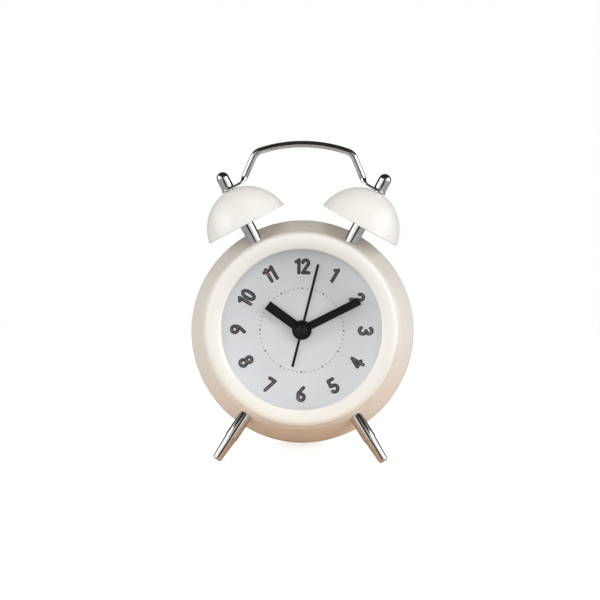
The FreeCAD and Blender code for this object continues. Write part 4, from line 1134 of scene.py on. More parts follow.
@dataclass
class CarryingHandle:
    """The bent wire whose ends are flattened into straps under the nuts."""

    rod: float = 1.3
    top: float = 73.1
    arch: float = 54.0
    corner: float = 4.5
    leg_lean: float = 23.0
    strap_half: float = 2.8
    strap_thickness: float = 1.0
    strap_length: float = 6.2
    bend_length: float = 2.2
    seat: float = 61.93
    bell_angle: float = 28.2
    tilt: float = 5.0
    around: int = 48

    def right_half(self) -> tuple[np.ndarray, float]:
        """The wire's centre line from the arch's top to the strap's outer end, in the handle's plane.

        The arch is a circle about a point on the centre line, the corner a smaller circle that
        touches it from inside, the leg a line that touches the corner, and the strap a line square
        to the post.

        Returns:
            The centre line's points, and the length of line over which the wire is flattened.
        """
        turn = math.radians(90.0 - self.bell_angle)
        lean = math.radians(self.leg_lean)
        lift = self.seat + self.strap_thickness / 2
        outward = np.array([math.cos(turn), math.sin(turn)])
        inward_strap = np.array([-math.sin(turn), math.cos(turn)])
        post_point = lift * outward
        strap_end = post_point + self.strap_length * inward_strap
        along = np.array([-math.sin(lean), math.cos(lean)])
        foot = strap_end + self.bend_length * along
        centre = np.array([0.0, self.top - self.arch])
        normal = np.array([-math.cos(lean), -math.sin(lean)])
        orbit = self.arch - self.corner
        start = foot + self.corner * normal - centre
        half = float(start @ along)
        length = -half + math.sqrt(half**2 - float(start @ start) + orbit**2)
        bend = start + length * along + centre
        leg_top = bend - self.corner * normal
        out = math.degrees(math.atan2(bend[1] - centre[1], bend[0]))
        leg_side = math.degrees(math.atan2(-normal[1], -normal[0]))
        arch = arc((0.0, float(centre[1])), self.arch, 90.0, out, 48)
        corner = arc((float(bend[0]), float(bend[1])), self.corner, out, leg_side, 14)[1:]
        leg = leg_top + (foot - leg_top) * np.linspace(0, 1, 16)[1:, None]
        ease = 1.6
        knee_in = strap_end + along * ease
        knee_out = strap_end - inward_strap * ease
        share = np.linspace(0, 1, 9)[:, None]
        knee = (1 - share) ** 2 * knee_in + 2 * share * (1 - share) * strap_end + share**2 * knee_out
        tip = post_point - inward_strap * self.strap_half
        share = np.linspace(0, 1, 40)[1:, None]
        share = np.sin(share * math.pi / 2)
        strap = knee_out + (tip - knee_out) * share
        line = np.vstack([arch, corner, leg, knee, strap])
        return line, self.bend_length + self.strap_length + self.strap_half

    def wire(self) -> Surface:
        """The whole handle as one tube whose section turns from round to flat.

        A point is the centre line plus the section's half-thickness along the line's normal and its
        half-width along depth. The section is a superellipse, round on the wire and nearly
        rectangular on the strap, and its half-width closes to nothing round the strap's end.
        """
        right, flat_length = self.right_half()
        left = right[::-1] * np.array([-1.0, 1.0])
        line = np.vstack([left[:-1], right])
        step = np.linalg.norm(np.diff(line, axis=0), axis=1)
        run = np.concatenate([[0.0], np.cumsum(step)])
        from_end = np.minimum(run, run[-1] - run)
        keep = np.concatenate([[True], step > 1e-6])
        line, from_end = line[keep], from_end[keep]
        ahead = np.gradient(line, axis=0)
        ahead /= np.linalg.norm(ahead, axis=1, keepdims=True)
        normal = np.stack([-ahead[:, 1], ahead[:, 0]], axis=1)
        squash = np.clip((flat_length - from_end) / (self.bend_length + 0.8), 0.0, 1.0)
        squash = squash * squash * (3 - 2 * squash)
        width = self.rod + (self.strap_half - self.rod) * squash
        thin = self.rod + (self.strap_thickness / 2 - self.rod) * squash
        short = np.clip(self.strap_half - from_end, 0.0, None)
        width = np.where(
            from_end < self.strap_half,
            np.sqrt(np.clip(self.strap_half**2 - short**2, 0.0, None)),
            width,
        )
        width = np.maximum(width, 0.02)
        power = 1.0 - 0.62 * squash
        angle = np.linspace(0, 2 * math.pi, self.around, endpoint=False)[None, :]
        c, s = np.cos(angle), np.sin(angle)
        across = np.sign(c) * np.abs(c) ** power[:, None] * width[:, None]
        lift = np.sign(s) * np.abs(s) ** power[:, None] * thin[:, None]
        depth = 12.5 + across
        flat_x = line[:, 0][:, None] + normal[:, 0][:, None] * lift
        flat_z = line[:, 1][:, None] + normal[:, 1][:, None] * lift
        points = np.stack([flat_x, depth, flat_z], axis=-1).reshape(-1, 3)
        rows = len(line)
        faces = [grid_faces(rows, self.around, False, True)]
        faces.append(np.arange(self.around)[None, ::-1])
        faces.append((rows - 1) * self.around + np.arange(self.around)[None, :])
        mount = Mounting(90.0 - self.bell_angle, self.tilt)
        return Surface(mount.tilted(points), faces).outward()

    def build(self, shop: Workshop) -> None:
        """Makes the handle.

        Args:
            shop: The workshop.
        """
        shop.piece("carrying_wire", self.wire(), ["chrome"], "case", ("handle",), crease=50.0)


@dataclass
class LegPair:
    """The two turned legs, each with a barrel, a small shoulder and a tapered foot."""

    angle: float = 32.75
    tilt: float = 5.0
    start: float = 37.6
    stud_start: float = 36.5
    barrel: float = 2.6
    step: float = 50.6
    lower: float = 2.35
    tip_radius: float = 1.85
    tip: float = 60.6
    shoulder_round: float = 0.5
    tip_round: float = 0.9

    def leg(self) -> Surface:
        """One leg, as radius and distance from the clock's axis turned about its own line."""
        corners = [
            (0.0, self.stud_start, 0.0),
            (1.5, self.stud_start, 0.1),
            (1.5, self.start + 0.8, 0.0),
            (self.barrel, self.start + 0.8, 0.1),
            (self.barrel, self.step, self.shoulder_round),
            (self.barrel - self.shoulder_round, self.step, 0.0),
            (self.lower, self.step + 0.02, 0.0),
            (self.tip_radius, self.tip, self.tip_round),
            (0.0, self.tip, 0.0),
        ]
        return spun(softened(corners, steps=8, closed=False), 96, closed=False)

    def build(self, shop: Workshop) -> None:
        """Makes both legs.

        Args:
            shop: The workshop.
        """
        for side, word in ((-1, "left"), (1, "right")):
            mount = Mounting(270.0 + side * self.angle, -self.tilt)
            shop.piece(f"{word}_foot_pin", mount.set_on(self.leg()), ["chrome"], "case", (f"leg_{word}",))


class Glyph:
    """One printed numeral, kept as the centre lines of its strokes in millimetres.

    The numeral's shape is every point that lies within half a stroke of a centre line. The outline is
    found on a square grid, by where that distance crosses the half stroke along each grid edge.
    """

    stroke = 1.36
    inlay = 0.46
    pitch = 0.1

    def __init__(self, text: str) -> None:
        """Lays out a number.

        Args:
            text: One or two digits.
        """
        advance = {"0": 3.7, "1": 2.35}
        widths = [advance.get(digit, 3.6) for digit in text]
        left = -sum(widths) / 2
        self.lines: list[np.ndarray] = []
        for digit, width in zip(text, widths):
            middle = left + width / 2
            self.lines += [line + np.array([middle, 0.0]) for line in self.strokes(digit)]
            left += width

    @staticmethod
    def strokes(digit: str) -> list[np.ndarray]:
        """A digit's centre lines, about its own middle.

        Args:
            digit: The digit.

        Returns:
            Its strokes as rows of points.
        """
        tall, wide = 2.5, 1.15
        ring = np.linspace(0, 2 * math.pi, 49)
        oval = np.stack([1.2 * np.sin(ring), tall * np.cos(ring)], axis=1)
        oval[:, 1] = np.sign(oval[:, 1]) * tall * np.abs(np.cos(ring)) ** 0.8
        shapes = {
            "0": [oval],
            "1": [np.array([[-0.75, 1.75], [-0.1, 2.0], [0.35, 2.5], [0.35, -tall]])],
            "2": [
                np.vstack(
                    [
                        arc((0.0, 1.3), wide, 170.0, -25.0, 16),
                        [[-wide, -tall], [wide + 0.1, -tall]],
                    ]
                )
            ],
            "3": [arc((-0.05, 1.3), wide, 150.0, -90.0, 18), arc((-0.05, -1.2), 1.28, 90.0, -155.0, 20)],
            "4": [
                np.array([[0.55, -tall], [0.55, tall], [-1.3, -1.0], [1.35, -1.0]]),
            ],
            "5": [
                np.vstack(
                    [[[1.1, tall], [-0.85, tall], [-1.0, 0.35]], arc((-0.05, -1.15), 1.32, 110.0, -150.0, 20)]
                )
            ],
            "6": [
                arc((0.0, -1.25), 1.22, 0.0, 360.0, 36),
                np.vstack([arc((0.75, -0.6), 1.95, 180.0, 135.0, 8), [[0.95, 2.5]]]),
            ],
            "7": [np.array([[-1.2, tall], [1.2, tall], [-0.35, -tall]])],
            "8": [arc((0.0, 1.4), 1.08, 0.0, 360.0, 32), arc((0.0, -1.22), 1.26, 0.0, 360.0, 32)],
        }
        if digit == "9":
            return [-line for line in Glyph.strokes("6")]
        return shapes[digit]

    def distance(self, points: np.ndarray) -> np.ndarray:
        """How far each point lies from the nearest centre line.

        For each straight span, the nearest place is the foot of the perpendicular, held between the
        span's ends.

        Args:
            points: The points.

        Returns:
            The distances.
        """
        starts = np.vstack([line[:-1] for line in self.lines])
        ends = np.vstack([line[1:] for line in self.lines])
        span = ends - starts
        away = points[:, None, :] - starts[None, :, :]
        share = np.einsum("pij,ij->pi", away, span) / np.einsum("ij,ij->i", span, span)
        share = np.clip(share, 0.0, 1.0)
        nearest = away - share[..., None] * span[None, :, :]
        return np.sqrt(np.einsum("pij,pij->pi", nearest, nearest)).min(axis=1)

    def sheet(self, stroke: float) -> tuple[np.ndarray, list[np.ndarray]]:
        """The numeral as flat faces, for a given stroke.

        Each grid square with all four corners inside stays whole. A square that the outline crosses
        keeps the part inside it, cut where the distance passes half the stroke.

        Args:
            stroke: The width of the stroke.

        Returns:
            The points, and the faces grouped by how many corners they have.
        """
        every = np.vstack(self.lines)
        low = every.min(axis=0) - stroke
        high = every.max(axis=0) + stroke
        across = np.arange(low[0], high[0] + self.pitch, self.pitch)
        upward = np.arange(low[1], high[1] + self.pitch, self.pitch)
        nx, ny = len(across), len(upward)
        grid = np.stack(np.meshgrid(across, upward, indexing="ij"), axis=-1).reshape(-1, 2)
        level = self.distance(grid) - stroke / 2
        level = np.where(np.abs(level) < 1e-4, 1e-4, level)
        ids = np.arange(nx * ny).reshape(nx, ny)
        flat_edges = np.stack([ids[:-1, :].ravel(), ids[1:, :].ravel()], axis=1)
        upright_edges = np.stack([ids[:, :-1].ravel(), ids[:, 1:].ravel()], axis=1)
        edges = np.vstack([flat_edges, upright_edges])
        share = level[edges[:, 0]] / (level[edges[:, 0]] - level[edges[:, 1]] + 1e-12)
        share = np.clip(share, 0.0, 1.0)[:, None]
        cuts = grid[edges[:, 0]] * (1 - share) + grid[edges[:, 1]] * share
        points = np.vstack([grid, cuts])
        flat_ids = nx * ny + np.arange(len(flat_edges)).reshape(nx - 1, ny)
        upright_ids = nx * ny + len(flat_edges) + np.arange(len(upright_edges)).reshape(nx, ny - 1)
        corner = [ids[:-1, :-1], ids[1:, :-1], ids[1:, 1:], ids[:-1, 1:]]
        middle = [flat_ids[:, :-1], upright_ids[1:, :], flat_ids[:, 1:], upright_ids[:-1, :]]
        inside = [level[c] < 0 for c in corner]
        case = sum(flag.astype(int) << k for k, flag in enumerate(inside))
        names = {f"c{k}": corner[k] for k in range(4)} | {f"e{k}": middle[k] for k in range(4)}
        recipes = {
            1: ["c0 e0 e3"],
            2: ["c1 e1 e0"],
            3: ["c0 c1 e1 e3"],
            4: ["c2 e2 e1"],
            5: ["c0 e0 e3", "c2 e2 e1"],
            6: ["c1 c2 e2 e0"],
            7: ["c0 c1 c2 e2 e3"],
            8: ["c3 e3 e2"],
            9: ["c0 e0 e2 c3"],
            10: ["c1 e1 e0", "c3 e3 e2"],
            11: ["c0 c1 e1 e2 c3"],
            12: ["c2 c3 e3 e1"],
            13: ["c0 e0 e1 c2 c3"],
            14: ["c1 c2 c3 e3 e0"],
            15: ["c0 c1 c2 c3"],
        }
        faces: list[np.ndarray] = []
        for number, shapes in recipes.items():
            chosen = case == number
            if not chosen.any():
                continue
            faces += [np.stack([names[k][chosen] for k in shape.split()], axis=1) for shape in shapes]
        used = np.unique(np.concatenate([block.ravel() for block in faces]))
        renumber = np.zeros(len(points), int)
        renumber[used] = np.arange(len(used))
        return points[used], [renumber[block] for block in faces]


@dataclass
class DialPrint:
    """What is printed on the dial: twelve numerals, sixty dots, and the numerals' inlay."""

    dial_depth: float = 12.0
    numeral_ring: float = 25.0
    dot_ring: float = 16.4
    dot_radius: float = 0.3
    inlay_lift: float = 1.6
    inlay_share: float = 0.6
    tint_spots: int = 26
    spot_margin: float = 0.3
    mark_radius: float = 0.38
    ink: float = 0.03

    def placed(self, flat: np.ndarray, hour: int) -> np.ndarray:
        """A numeral's flat points, turned to its hour and set on its ring.

        The upper numerals stand with their tops outwards, and 4 to 8 with their tops inwards.

        Args:
            flat: The numeral's points about its own middle.
            hour: The hour.

        Returns:
            The points as x and height on the dial.
        """
        angle = math.radians(30.0 * hour)
        turn = angle + (math.pi if 4 <= hour <= 8 else 0.0)
        x = flat[:, 0] * math.cos(turn) + flat[:, 1] * math.sin(turn)
        z = -flat[:, 0] * math.sin(turn) + flat[:, 1] * math.cos(turn)
        across = x + self.numeral_ring * math.sin(angle)
        up = z + self.numeral_ring * math.cos(angle)
        return np.stack([across, up], axis=1)

    def printed(self, flat: np.ndarray, faces: list[np.ndarray], depth: float, thick: float) -> Surface:
        """A printed film: its front, its back, and a wall along each edge that only one face has.

        Args:
            flat: The film's points as x and height on the dial.
            faces: Its faces.
            depth: The depth of its front.
            thick: Its thickness.

        Returns:
            The closed film.
        """
        count = len(flat)
        front = np.stack([flat[:, 0], np.full(count, depth), flat[:, 1]], axis=1)
        back = front + np.array([0.0, thick, 0.0])
        sides = np.vstack(
            [
                np.stack([block[:, k], block[:, (k + 1) % block.shape[1]]], axis=1)
                for block in faces
                for k in range(block.shape[1])
            ]
        )
        code = sides[:, 0] * count + sides[:, 1]
        mirrored = sides[:, 1] * count + sides[:, 0]
        rim = sides[~np.isin(code, mirrored)]
        wall = np.stack([rim[:, 1], rim[:, 0], rim[:, 0] + count, rim[:, 1] + count], axis=1)
        every = list(faces) + [block[:, ::-1] + count for block in faces] + [wall]
        return Surface(np.vstack([front, back]), every).outward()

    def disc(self, radius: float, angle: float) -> Surface:
        """One dot on the dot ring: a low round plate.

        Args:
            radius: The dot's radius.
            angle: Its place, in degrees clockwise from 12.

        Returns:
            The dot.
        """
        turn = math.radians(angle)
        centre = (self.dot_ring * math.sin(turn), self.dot_ring * math.cos(turn))
        outline = arc(centre, radius, 0.0, 360.0, 14)[:-1]
        return stacked(outline, [(0.0, self.dial_depth - self.ink), (0.0, self.dial_depth)])

    def numerals(self, shop: Workshop) -> None:
        """Makes each numeral's dark outline and its coloured inlay.

        Args:
            shop: The workshop.
        """
        tints = [f"{tint.name.lower()}_ink" for tint in InkTint]
        seeds = np.random.default_rng(12)
        for hour in range(1, 13):
            glyph = Glyph(str(hour))
            flat, faces = glyph.sheet(glyph.stroke)
            film = self.printed(self.placed(flat, hour), faces, self.dial_depth - self.ink, self.ink)
            shop.piece(f"numeral_{hour}", film, ["outline_ink"], "case", crease=60.0)
            flat, faces = glyph.sheet(glyph.inlay)
            inlay_depth = self.dial_depth - self.inlay_lift * self.ink
            film = self.printed(self.placed(flat, hour), faces, inlay_depth, self.inlay_share * self.ink)
            every = np.vstack(glyph.lines)
            reach = np.ptp(every, axis=0) + 2 * self.spot_margin
            spots = every.min(axis=0) - self.spot_margin + seeds.random((self.tint_spots, 2)) * reach
            colours = seeds.integers(0, len(tints), self.tint_spots)
            local = np.vstack([flat, flat])
            centres = np.vstack([local[block].mean(axis=1) for block in film.faces])
            nearest = np.linalg.norm(centres[:, None, :] - spots[None, :, :], axis=2).argmin(axis=1)
            worn = colours[nearest]
            shop.piece(f"numeral_inlay_{hour}", film, tints, "case", face_finish=worn, crease=60.0)

    def build(self, shop: Workshop) -> None:
        """Prints the dial.

        Args:
            shop: The workshop.
        """
        self.numerals(shop)
        small = [self.disc(self.dot_radius, 6.0 * k) for k in range(60) if k % 5]
        large = [self.disc(self.mark_radius, 30.0 * k) for k in range(12)]
        shop.piece("minute_dots", Surface.together(small), ["dot_ink"], "case")
        shop.piece("hour_dots", Surface.together(large), ["mark_ink"], "case")


@dataclass
class Hand:
    """One hand: a flat blade with square ends, and a hub disc."""

    name: str
    node: str
    body: str
    width: float
    reach: float
    tail: float
    angle: float
    front: float
    hub: float
    bore: float
    thickness: float = 0.3
    hub_height: float = 0.6

    def blade(self) -> Surface:
        """The blade: a rectangle with its front edges eased, turned to the hand's angle."""
        half = self.width / 2
        outline = softened(
            [
                (-half, -self.tail, 0.08),
                (half, -self.tail, 0.08),
                (half, self.reach, 0.08),
                (-half, self.reach, 0.08),
            ],
            steps=3,
        )
        ease = 0.06
        plate = stacked(
            outline,
            [(ease, self.front), (0.0, self.front + ease), (0.0, self.front + self.thickness)],
        )
        turn = math.radians(self.angle)
        x, z = plate.points[:, 0].copy(), plate.points[:, 2].copy()
        plate.points[:, 0] = x * math.cos(turn) + z * math.sin(turn)
        plate.points[:, 2] = -x * math.sin(turn) + z * math.cos(turn)
        return plate

    def hub_disc(self) -> Surface:
        """The hub with its bore, its front edge turned over and a shallow recess in its face."""
        front = self.front - 0.12
        lip = min(0.5, (self.hub - self.bore) / 3)
        outline = softened(
            [
                (self.bore, front + 0.1, 0.0),
                (self.hub - 2 * lip, front + 0.1, 0.06),
                (self.hub - 1.4 * lip, front, 0.08),
                (self.hub - 0.4 * lip, front, 0.08),
                (self.hub, front + 0.25, 0.1),
                (self.hub, self.front + self.hub_height, 0.0),
                (self.bore, self.front + self.hub_height, 0.0),
            ]
        )
        return along_axis(spun(outline, 96))

    def build(self, shop: Workshop) -> None:
        """Makes the hand.

        Args:
            shop: The workshop.
        """
        whole = Surface.together([self.blade(), self.hub_disc()])
        shop.piece(self.name, whole, ["hand_black"], self.body, (self.node,), crease=25.0)


@dataclass
class SecondsHand(Hand):
    """The thin seconds hand with its tail and its domed cap."""

    dome: float = 0.7

    def hub_disc(self) -> Surface:
        """The cap: a low dome over a disc, closed at the front, with a small dimple in its crown."""
        sphere = (self.hub**2 + self.dome**2) / (2 * self.dome)
        reach = math.asin(self.hub / sphere)
        turn = np.linspace(0.12, reach, 16)
        radius = sphere * np.sin(turn)
        depth = self.front - self.dome + sphere * (1 - np.cos(turn))
        dimple = np.array([[0.0, depth[0] + 0.12], [radius[0] * 0.55, depth[0] + 0.09]])
        rim = np.array([[self.hub, self.front + self.hub_height], [0.0, self.front + self.hub_height]])
        outline = np.vstack([dimple, np.stack([radius, depth], axis=1), rim])
        return along_axis(spun(outline, 96, closed=False))


@dataclass
class HandSet:
    """The four hands, shown at two seconds past ten minutes past ten."""

    def build(self, shop: Workshop) -> None:
        """Makes the three hands that show.

        Args:
            shop: The workshop.
        """
        Hand("hour_pointer", "hour_hand", "hours", 3.7, 16.6, 0.0, 305.4, 10.1, 3.85, 1.57).build(shop)
        Hand("minute_pointer", "minute_hand", "minutes", 3.1, 25.3, 0.0, 62.7, 9.0, 2.95, 1.02).build(shop)
        SecondsHand(
            "seconds_pointer", "second_hand", "seconds", 1.0, 26.4, 14.9, 13.4, 7.9, 2.15, 0.42
        ).build(shop)


@dataclass
class SettingKnobs:
    """The two fluted knobs in the recessed back."""

    radius: float = 4.5
    height: float = 5.6
    flutes: int = 18
    flute_depth: float = 0.45
    front: float = 40.6
    round_over: float = 0.6
    socket_depth: float = 3.65

    def knob(self, centre: tuple[float, float], bore: float) -> Surface:
        """A knob whose side waves in and out as it goes round.

        The radius of a point on the side is the knob's radius less the flute's depth times the
        eighth power of the cosine of half the flute's phase, so that the flutes are narrow.

        Args:
            centre: The x and height of its arbor.
            bore: The radius of its blind bore.

        Returns:
            The knob.
        """
        back = self.front + self.height
        outline = softened(
            [
                (0.0, self.front + self.socket_depth, 0.0),
                (bore, self.front + self.socket_depth, 0.0),
                (bore, self.front, 0.0),
                (self.radius, self.front, 0.12),
                (self.radius, back, self.round_over),
                (self.radius * 0.62, back, 0.2),
                (self.radius * 0.55, back - 0.35, 0.2),
                (0.0, back - 0.35, 0.0),
            ],
            closed=False,
        )
        solid = spun(outline, self.flutes * 14, closed=False)
        reach = np.hypot(solid.points[:, 0], solid.points[:, 1])
        phase = np.arctan2(solid.points[:, 1], solid.points[:, 0]) * self.flutes / 2
        notch = self.flute_depth * np.cos(phase) ** 8
        outer = np.clip((reach - 0.8 * self.radius) / (0.2 * self.radius), 0.0, 1.0)
        scale = 1.0 - notch * outer / np.maximum(reach, 1e-6)
        solid.points[:, :2] *= scale[:, None]
        return along_axis(solid, centre)

    def build(self, shop: Workshop) -> None:
        """Makes both knobs.

        Args:
            shop: The workshop.
        """
        time_place = (10.2 * math.cos(math.radians(50.0)), 10.2 * math.sin(math.radians(50.0)))
        alarm_place = (12.0 * math.cos(math.radians(165.0)), 12.0 * math.sin(math.radians(165.0)))
        rows = [
            ("time_knob_grip", time_place, 1.02, "time_setting", "time_set_knob"),
            ("alarm_knob_grip", alarm_place, 1.22, "alarm_setting", "alarm_set_knob"),
        ]
        for name, place, bore, body, node in rows:
            shop.piece(name, self.knob(place, bore), ["knob_plastic"], body, (node,), crease=35.0)


@dataclass
class Studio:
    """The pale floor, the light and the camera."""

    floor_half: float = 4.0
    floor_near: float = 0.11
    floor_far: float = 0.3
    distance: float = 1.2
    azimuth: float = 1.07
    elevation: float = 10.0
    roll: float = 0.5
    frame_pixels: float = 600.0
    millimetres_per_pixel: float = 0.388
    bezel_pixel: tuple[float, float] = (301.4, 329.3)
    bounce: tuple[float, float, float, float] = (0.72, 0.52, 0.36, 1.0)
    bounce_far: tuple[float, float, float, float] = (0.5, 0.52, 0.55, 1.0)
    bounce_reach: tuple[float, float] = (0.06, 0.14)
    ceiling: tuple[float, float, float, float] = (0.3, 0.25, 0.21, 1.0)
    walls: tuple[float, float, float, float] = (0.5, 0.51, 0.52, 1.0)
    ceiling_rise: tuple[float, float] = (0.25, 0.65)
    mirrored_dark: tuple[float, float, float, float] = (0.035, 0.032, 0.03, 1.0)
    dark_above: tuple[float, float] = (0.5, 0.62)
    dark_behind: tuple[float, float] = (0.25, 0.45)
    dark_between: tuple[float, float] = (0.3, 0.2)

    @staticmethod
    def either(
        board: NodeBoard, first: bpy.types.NodeSocket, second: bpy.types.NodeSocket
    ) -> bpy.types.NodeSocket:
        """The larger of two values.

        Args:
            board: The board to place the node on.
            first: A value.
            second: Another value.

        Returns:
            The socket that gives the larger.
        """
        return board.add("ShaderNodeMath", {"operation": "MAXIMUM"}, {0: first, 1: second}).outputs[0]

    @staticmethod
    def ramp(board: NodeBoard, value: bpy.types.NodeSocket, start: float, end: float) -> bpy.types.NodeSocket:
        """A smooth step from 0 to 1 as a value goes from start to end.

        Args:
            board: The board to place the node on.
            value: The value.
            start: Where the step starts.
            end: Where it ends.

        Returns:
            The socket that gives the step.
        """
        node = board.add(
            "ShaderNodeMapRange",
            {"interpolation_type": "SMOOTHSTEP"},
            {"Value": value, "From Min": start, "From Max": end},
        )
        return node.outputs["Result"]

    def floor(self) -> None:
        """A wide floor that keeps the clock's shadow near it, fades to white and bounces a warm light."""
        mesh = bpy.data.meshes.new("studio_floor")
        h = self.floor_half
        mesh.from_pydata([(-h, -h, 0), (h, -h, 0), (h, h, 0), (-h, h, 0)], [], [(0, 1, 2, 3)])
        material = bpy.data.materials.new("studio_floor")
        material.use_nodes = True
        tree = material.node_tree
        tree.nodes.clear()
        board = NodeBoard(tree)
        ray = board.add("ShaderNodeLightPath")
        seen = self.either(board, ray.outputs["Is Camera Ray"], ray.outputs["Is Transmission Ray"])
        place = board.add("ShaderNodeTexCoord").outputs["Object"]
        away = board.add("ShaderNodeVectorMath", {"operation": "LENGTH"}, {0: place}).outputs["Value"]
        lit = board.add("ShaderNodeBsdfDiffuse", None, {"Color": (0.8, 0.8, 0.8, 1.0)})
        glow = board.add("ShaderNodeEmission", None, {"Color": (1.0, 1.0, 1.0, 1.0), "Strength": 0.72})
        near = board.add("ShaderNodeAddShader", None, {0: lit.outputs[0], 1: glow.outputs[0]})
        far = board.add("ShaderNodeEmission", None, {"Color": (1.0, 1.0, 1.0, 1.0), "Strength": 1.0})
        fade = self.ramp(board, away, self.floor_near, self.floor_far)
        pale = board.add("ShaderNodeMixShader", None, {0: fade, 1: near.outputs[0], 2: far.outputs[0]})
        tone = board.add(
            "ShaderNodeMix",
            {"data_type": "RGBA"},
            {0: self.ramp(board, away, *self.bounce_reach), 6: self.bounce, 7: self.bounce_far},
        )
        warm = board.add("ShaderNodeBsdfDiffuse", None, {"Color": tone.outputs[2]})
        mixed = board.add("ShaderNodeMixShader", None, {0: seen, 1: warm.outputs[0], 2: pale.outputs[0]})
        board.add("ShaderNodeOutputMaterial", None, {"Surface": mixed.outputs[0]})
        mesh.materials.append(material)
        floor = bpy.data.objects.new("studio_floor", mesh)
        bpy.context.scene.collection.objects.link(floor)

    def area(
        self, name: str, place: tuple, aim: tuple, size: tuple, power: float, colour: tuple, mirrored: bool
    ) -> None:
        """A soft box.

        Args:
            name: Its name.
            place: Where it stands, in metres.
            aim: The point that it faces.
            size: Its width and height.
            power: Its power in watts.
            colour: Its colour.
            mirrored: Whether shiny pieces mirror it.
        """
        light = bpy.data.lights.new(name, "AREA")
        light.shape = "RECTANGLE"
        light.size, light.size_y = size
        light.energy = power
        light.color = colour
        made = bpy.data.objects.new(name, light)
        made.location = place
        made.rotation_mode = "QUATERNION"
        made.rotation_quaternion = (Vector(aim) - Vector(place)).to_track_quat("-Z", "Y")
        made.visible_glossy = mirrored
        bpy.context.scene.collection.objects.link(made)

    def lights(self) -> None:
        """The softboxes: a broad front key, a small one overhead, and a fill from each side and the rear."""
        target = (0.0, 0.0, 0.06)
        self.area("key_box", (-0.1, -1.1, 0.42), target, (0.8, 0.5), 3.2, (0.98, 0.99, 1.0), False)
        self.area("high_box", (0.0, -0.25, 1.1), target, (0.5, 0.3), 2.4, (1.0, 1.0, 1.0), False)
        self.area("left_box", (-1.0, -0.35, 0.3), target, (0.6, 0.9), 4.8, (1.0, 0.99, 0.97), True)
        self.area("right_box", (1.0, -0.35, 0.3), target, (0.6, 0.9), 7.4, (1.0, 1.0, 1.0), True)
        self.area("rear_box", (0.0, 1.1, 0.5), target, (0.9, 0.6), 2.6, (1.0, 0.99, 0.97), False)

    def mirrored_room(self, board: NodeBoard) -> bpy.types.NodeSocket:
        """What shiny pieces mirror: white side walls, and a dark ceiling, front and rear.

        A direction is dark where it points up, back past the clock, or to the front between the
        side walls.

        Args:
            board: The world's board.

        Returns:
            The socket that gives the room's light.
        """
        way = board.add("ShaderNodeTexCoord").outputs["Generated"]
        parts = board.add("ShaderNodeSeparateXYZ", None, {0: way}).outputs
        side = board.add("ShaderNodeMath", {"operation": "ABSOLUTE"}, {0: parts["X"]}).outputs[0]
        above = self.ramp(board, parts["Z"], *self.dark_above)
        behind = self.ramp(board, parts["Y"], *self.dark_behind)
        between = self.ramp(board, side, *self.dark_between)
        dark = self.either(board, above, self.either(board, behind, between))
        tone = board.add(
            "ShaderNodeMix",
            {"data_type": "RGBA"},
            {0: dark, 6: (1.0, 1.0, 1.0, 1.0), 7: self.mirrored_dark},
        )
        return board.add("ShaderNodeBackground", None, {"Color": tone.outputs[2], "Strength": 1.0}).outputs[0]

    def world(self) -> None:
        """White to the eye, a studio room to mirrors, and a soft light that is dimmer from above."""
        world = bpy.data.worlds.new("studio_world")
        bpy.context.scene.world = world
        world.use_nodes = True
        tree = world.node_tree
        tree.nodes.clear()
        board = NodeBoard(tree)
        ray = board.add("ShaderNodeLightPath")
        way = board.add("ShaderNodeTexCoord").outputs["Generated"]
        height = board.add("ShaderNodeSeparateXYZ", None, {0: way}).outputs["Z"]
        tone = board.add(
            "ShaderNodeMix",
            {"data_type": "RGBA"},
            {0: self.ramp(board, height, *self.ceiling_rise), 6: self.walls, 7: self.ceiling},
        )
        soft = board.add("ShaderNodeBackground", None, {"Color": tone.outputs[2], "Strength": 1.0})
        white = board.add("ShaderNodeBackground", None, {"Color": (1.0, 1.0, 1.0, 1.0), "Strength": 1.0})
        room = board.add(
            "ShaderNodeMixShader",
            None,
            {0: ray.outputs["Is Glossy Ray"], 1: soft.outputs[0], 2: self.mirrored_room(board)},
        )
        seen = self.either(board, ray.outputs["Is Camera Ray"], ray.outputs["Is Transmission Ray"])
        mixed = board.add("ShaderNodeMixShader", None, {0: seen, 1: room.outputs[0], 2: white.outputs[0]})
        board.add("ShaderNodeOutputWorld", None, {"Surface": mixed.outputs[0]})

    def camera(self, stance: Stance) -> None:
        """The camera, at the photograph's angle, with the bezel's middle where the photograph has it.

        The lens gives the photograph's scale at the bezel: focal length over sensor width is the
        distance over the width that the picture spans there.

        Args:
            stance: The clock's stance.
        """
        turn, rise, roll = (math.radians(v) for v in (self.azimuth, self.elevation, self.roll))
        back = Vector((math.sin(turn) * math.cos(rise), -math.cos(turn) * math.cos(rise), math.sin(rise)))
        spin = (-back).to_track_quat("-Z", "Y").to_matrix() @ Matrix.Rotation(roll, 3, "Z")
        right, up = spin.col[0], spin.col[1]
        scale = self.millimetres_per_pixel * MILLIMETRE
        middle = self.frame_pixels / 2
        place = Vector(stance.origin) + back * self.distance
        place -= right * (self.bezel_pixel[0] - middle) * scale
        place += up * (self.bezel_pixel[1] - middle) * scale
        data = bpy.data.cameras.new("photo_camera")
        data.sensor_width = 36.0
        data.lens = data.sensor_width * self.distance / (self.frame_pixels * scale)
        data.clip_start = 0.05
        data.clip_end = 50.0
        camera = bpy.data.objects.new("photo_camera", data)
        camera.rotation_mode = "QUATERNION"
        camera.rotation_quaternion = spin.to_quaternion()
        camera.location = place
        bpy.context.scene.collection.objects.link(camera)
        bpy.context.scene.camera = camera

    def build(self, stance: Stance) -> None:
        """Sets the studio.

        Args:
            stance: The clock's stance.
        """
        bpy.context.scene.view_settings.view_transform = "Standard"
        self.floor()
        self.lights()
        self.world()
        self.camera(stance)


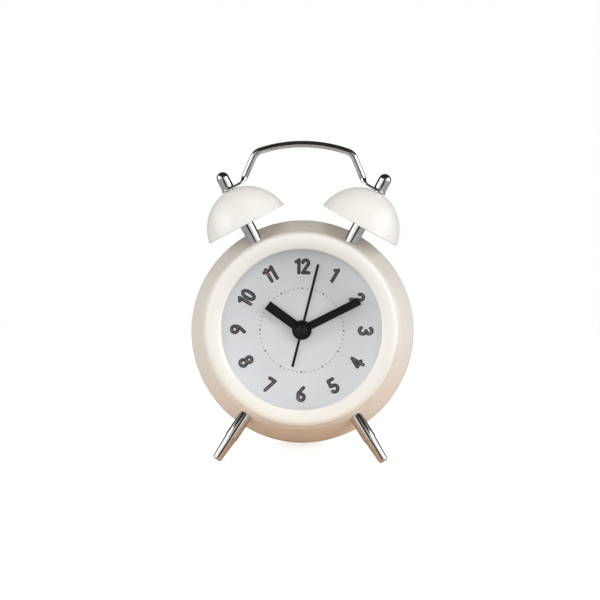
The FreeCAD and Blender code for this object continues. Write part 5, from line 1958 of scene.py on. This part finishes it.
def main() -> None:
    """Builds the clock over its frame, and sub-assembly by sub-assembly."""
    logging.basicConfig(level=logging.INFO, format="%(name)s %(message)s")
    for thing in list(bpy.data.objects):
        bpy.data.objects.remove(thing)
    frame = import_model()
    shop = Workshop(frame)
    Studio().build(shop.stance)
    shop.dress_frame()
    assemblies = (
        Drum(), Bezel(), BellSet(), CarryingHandle(), LegPair(), DialPrint(), HandSet(), SettingKnobs()
    )
    for assembly in assemblies:
        log.info("building %s", type(assembly).__name__)
        assembly.build(shop)


if __name__ == "__main__":
    main()
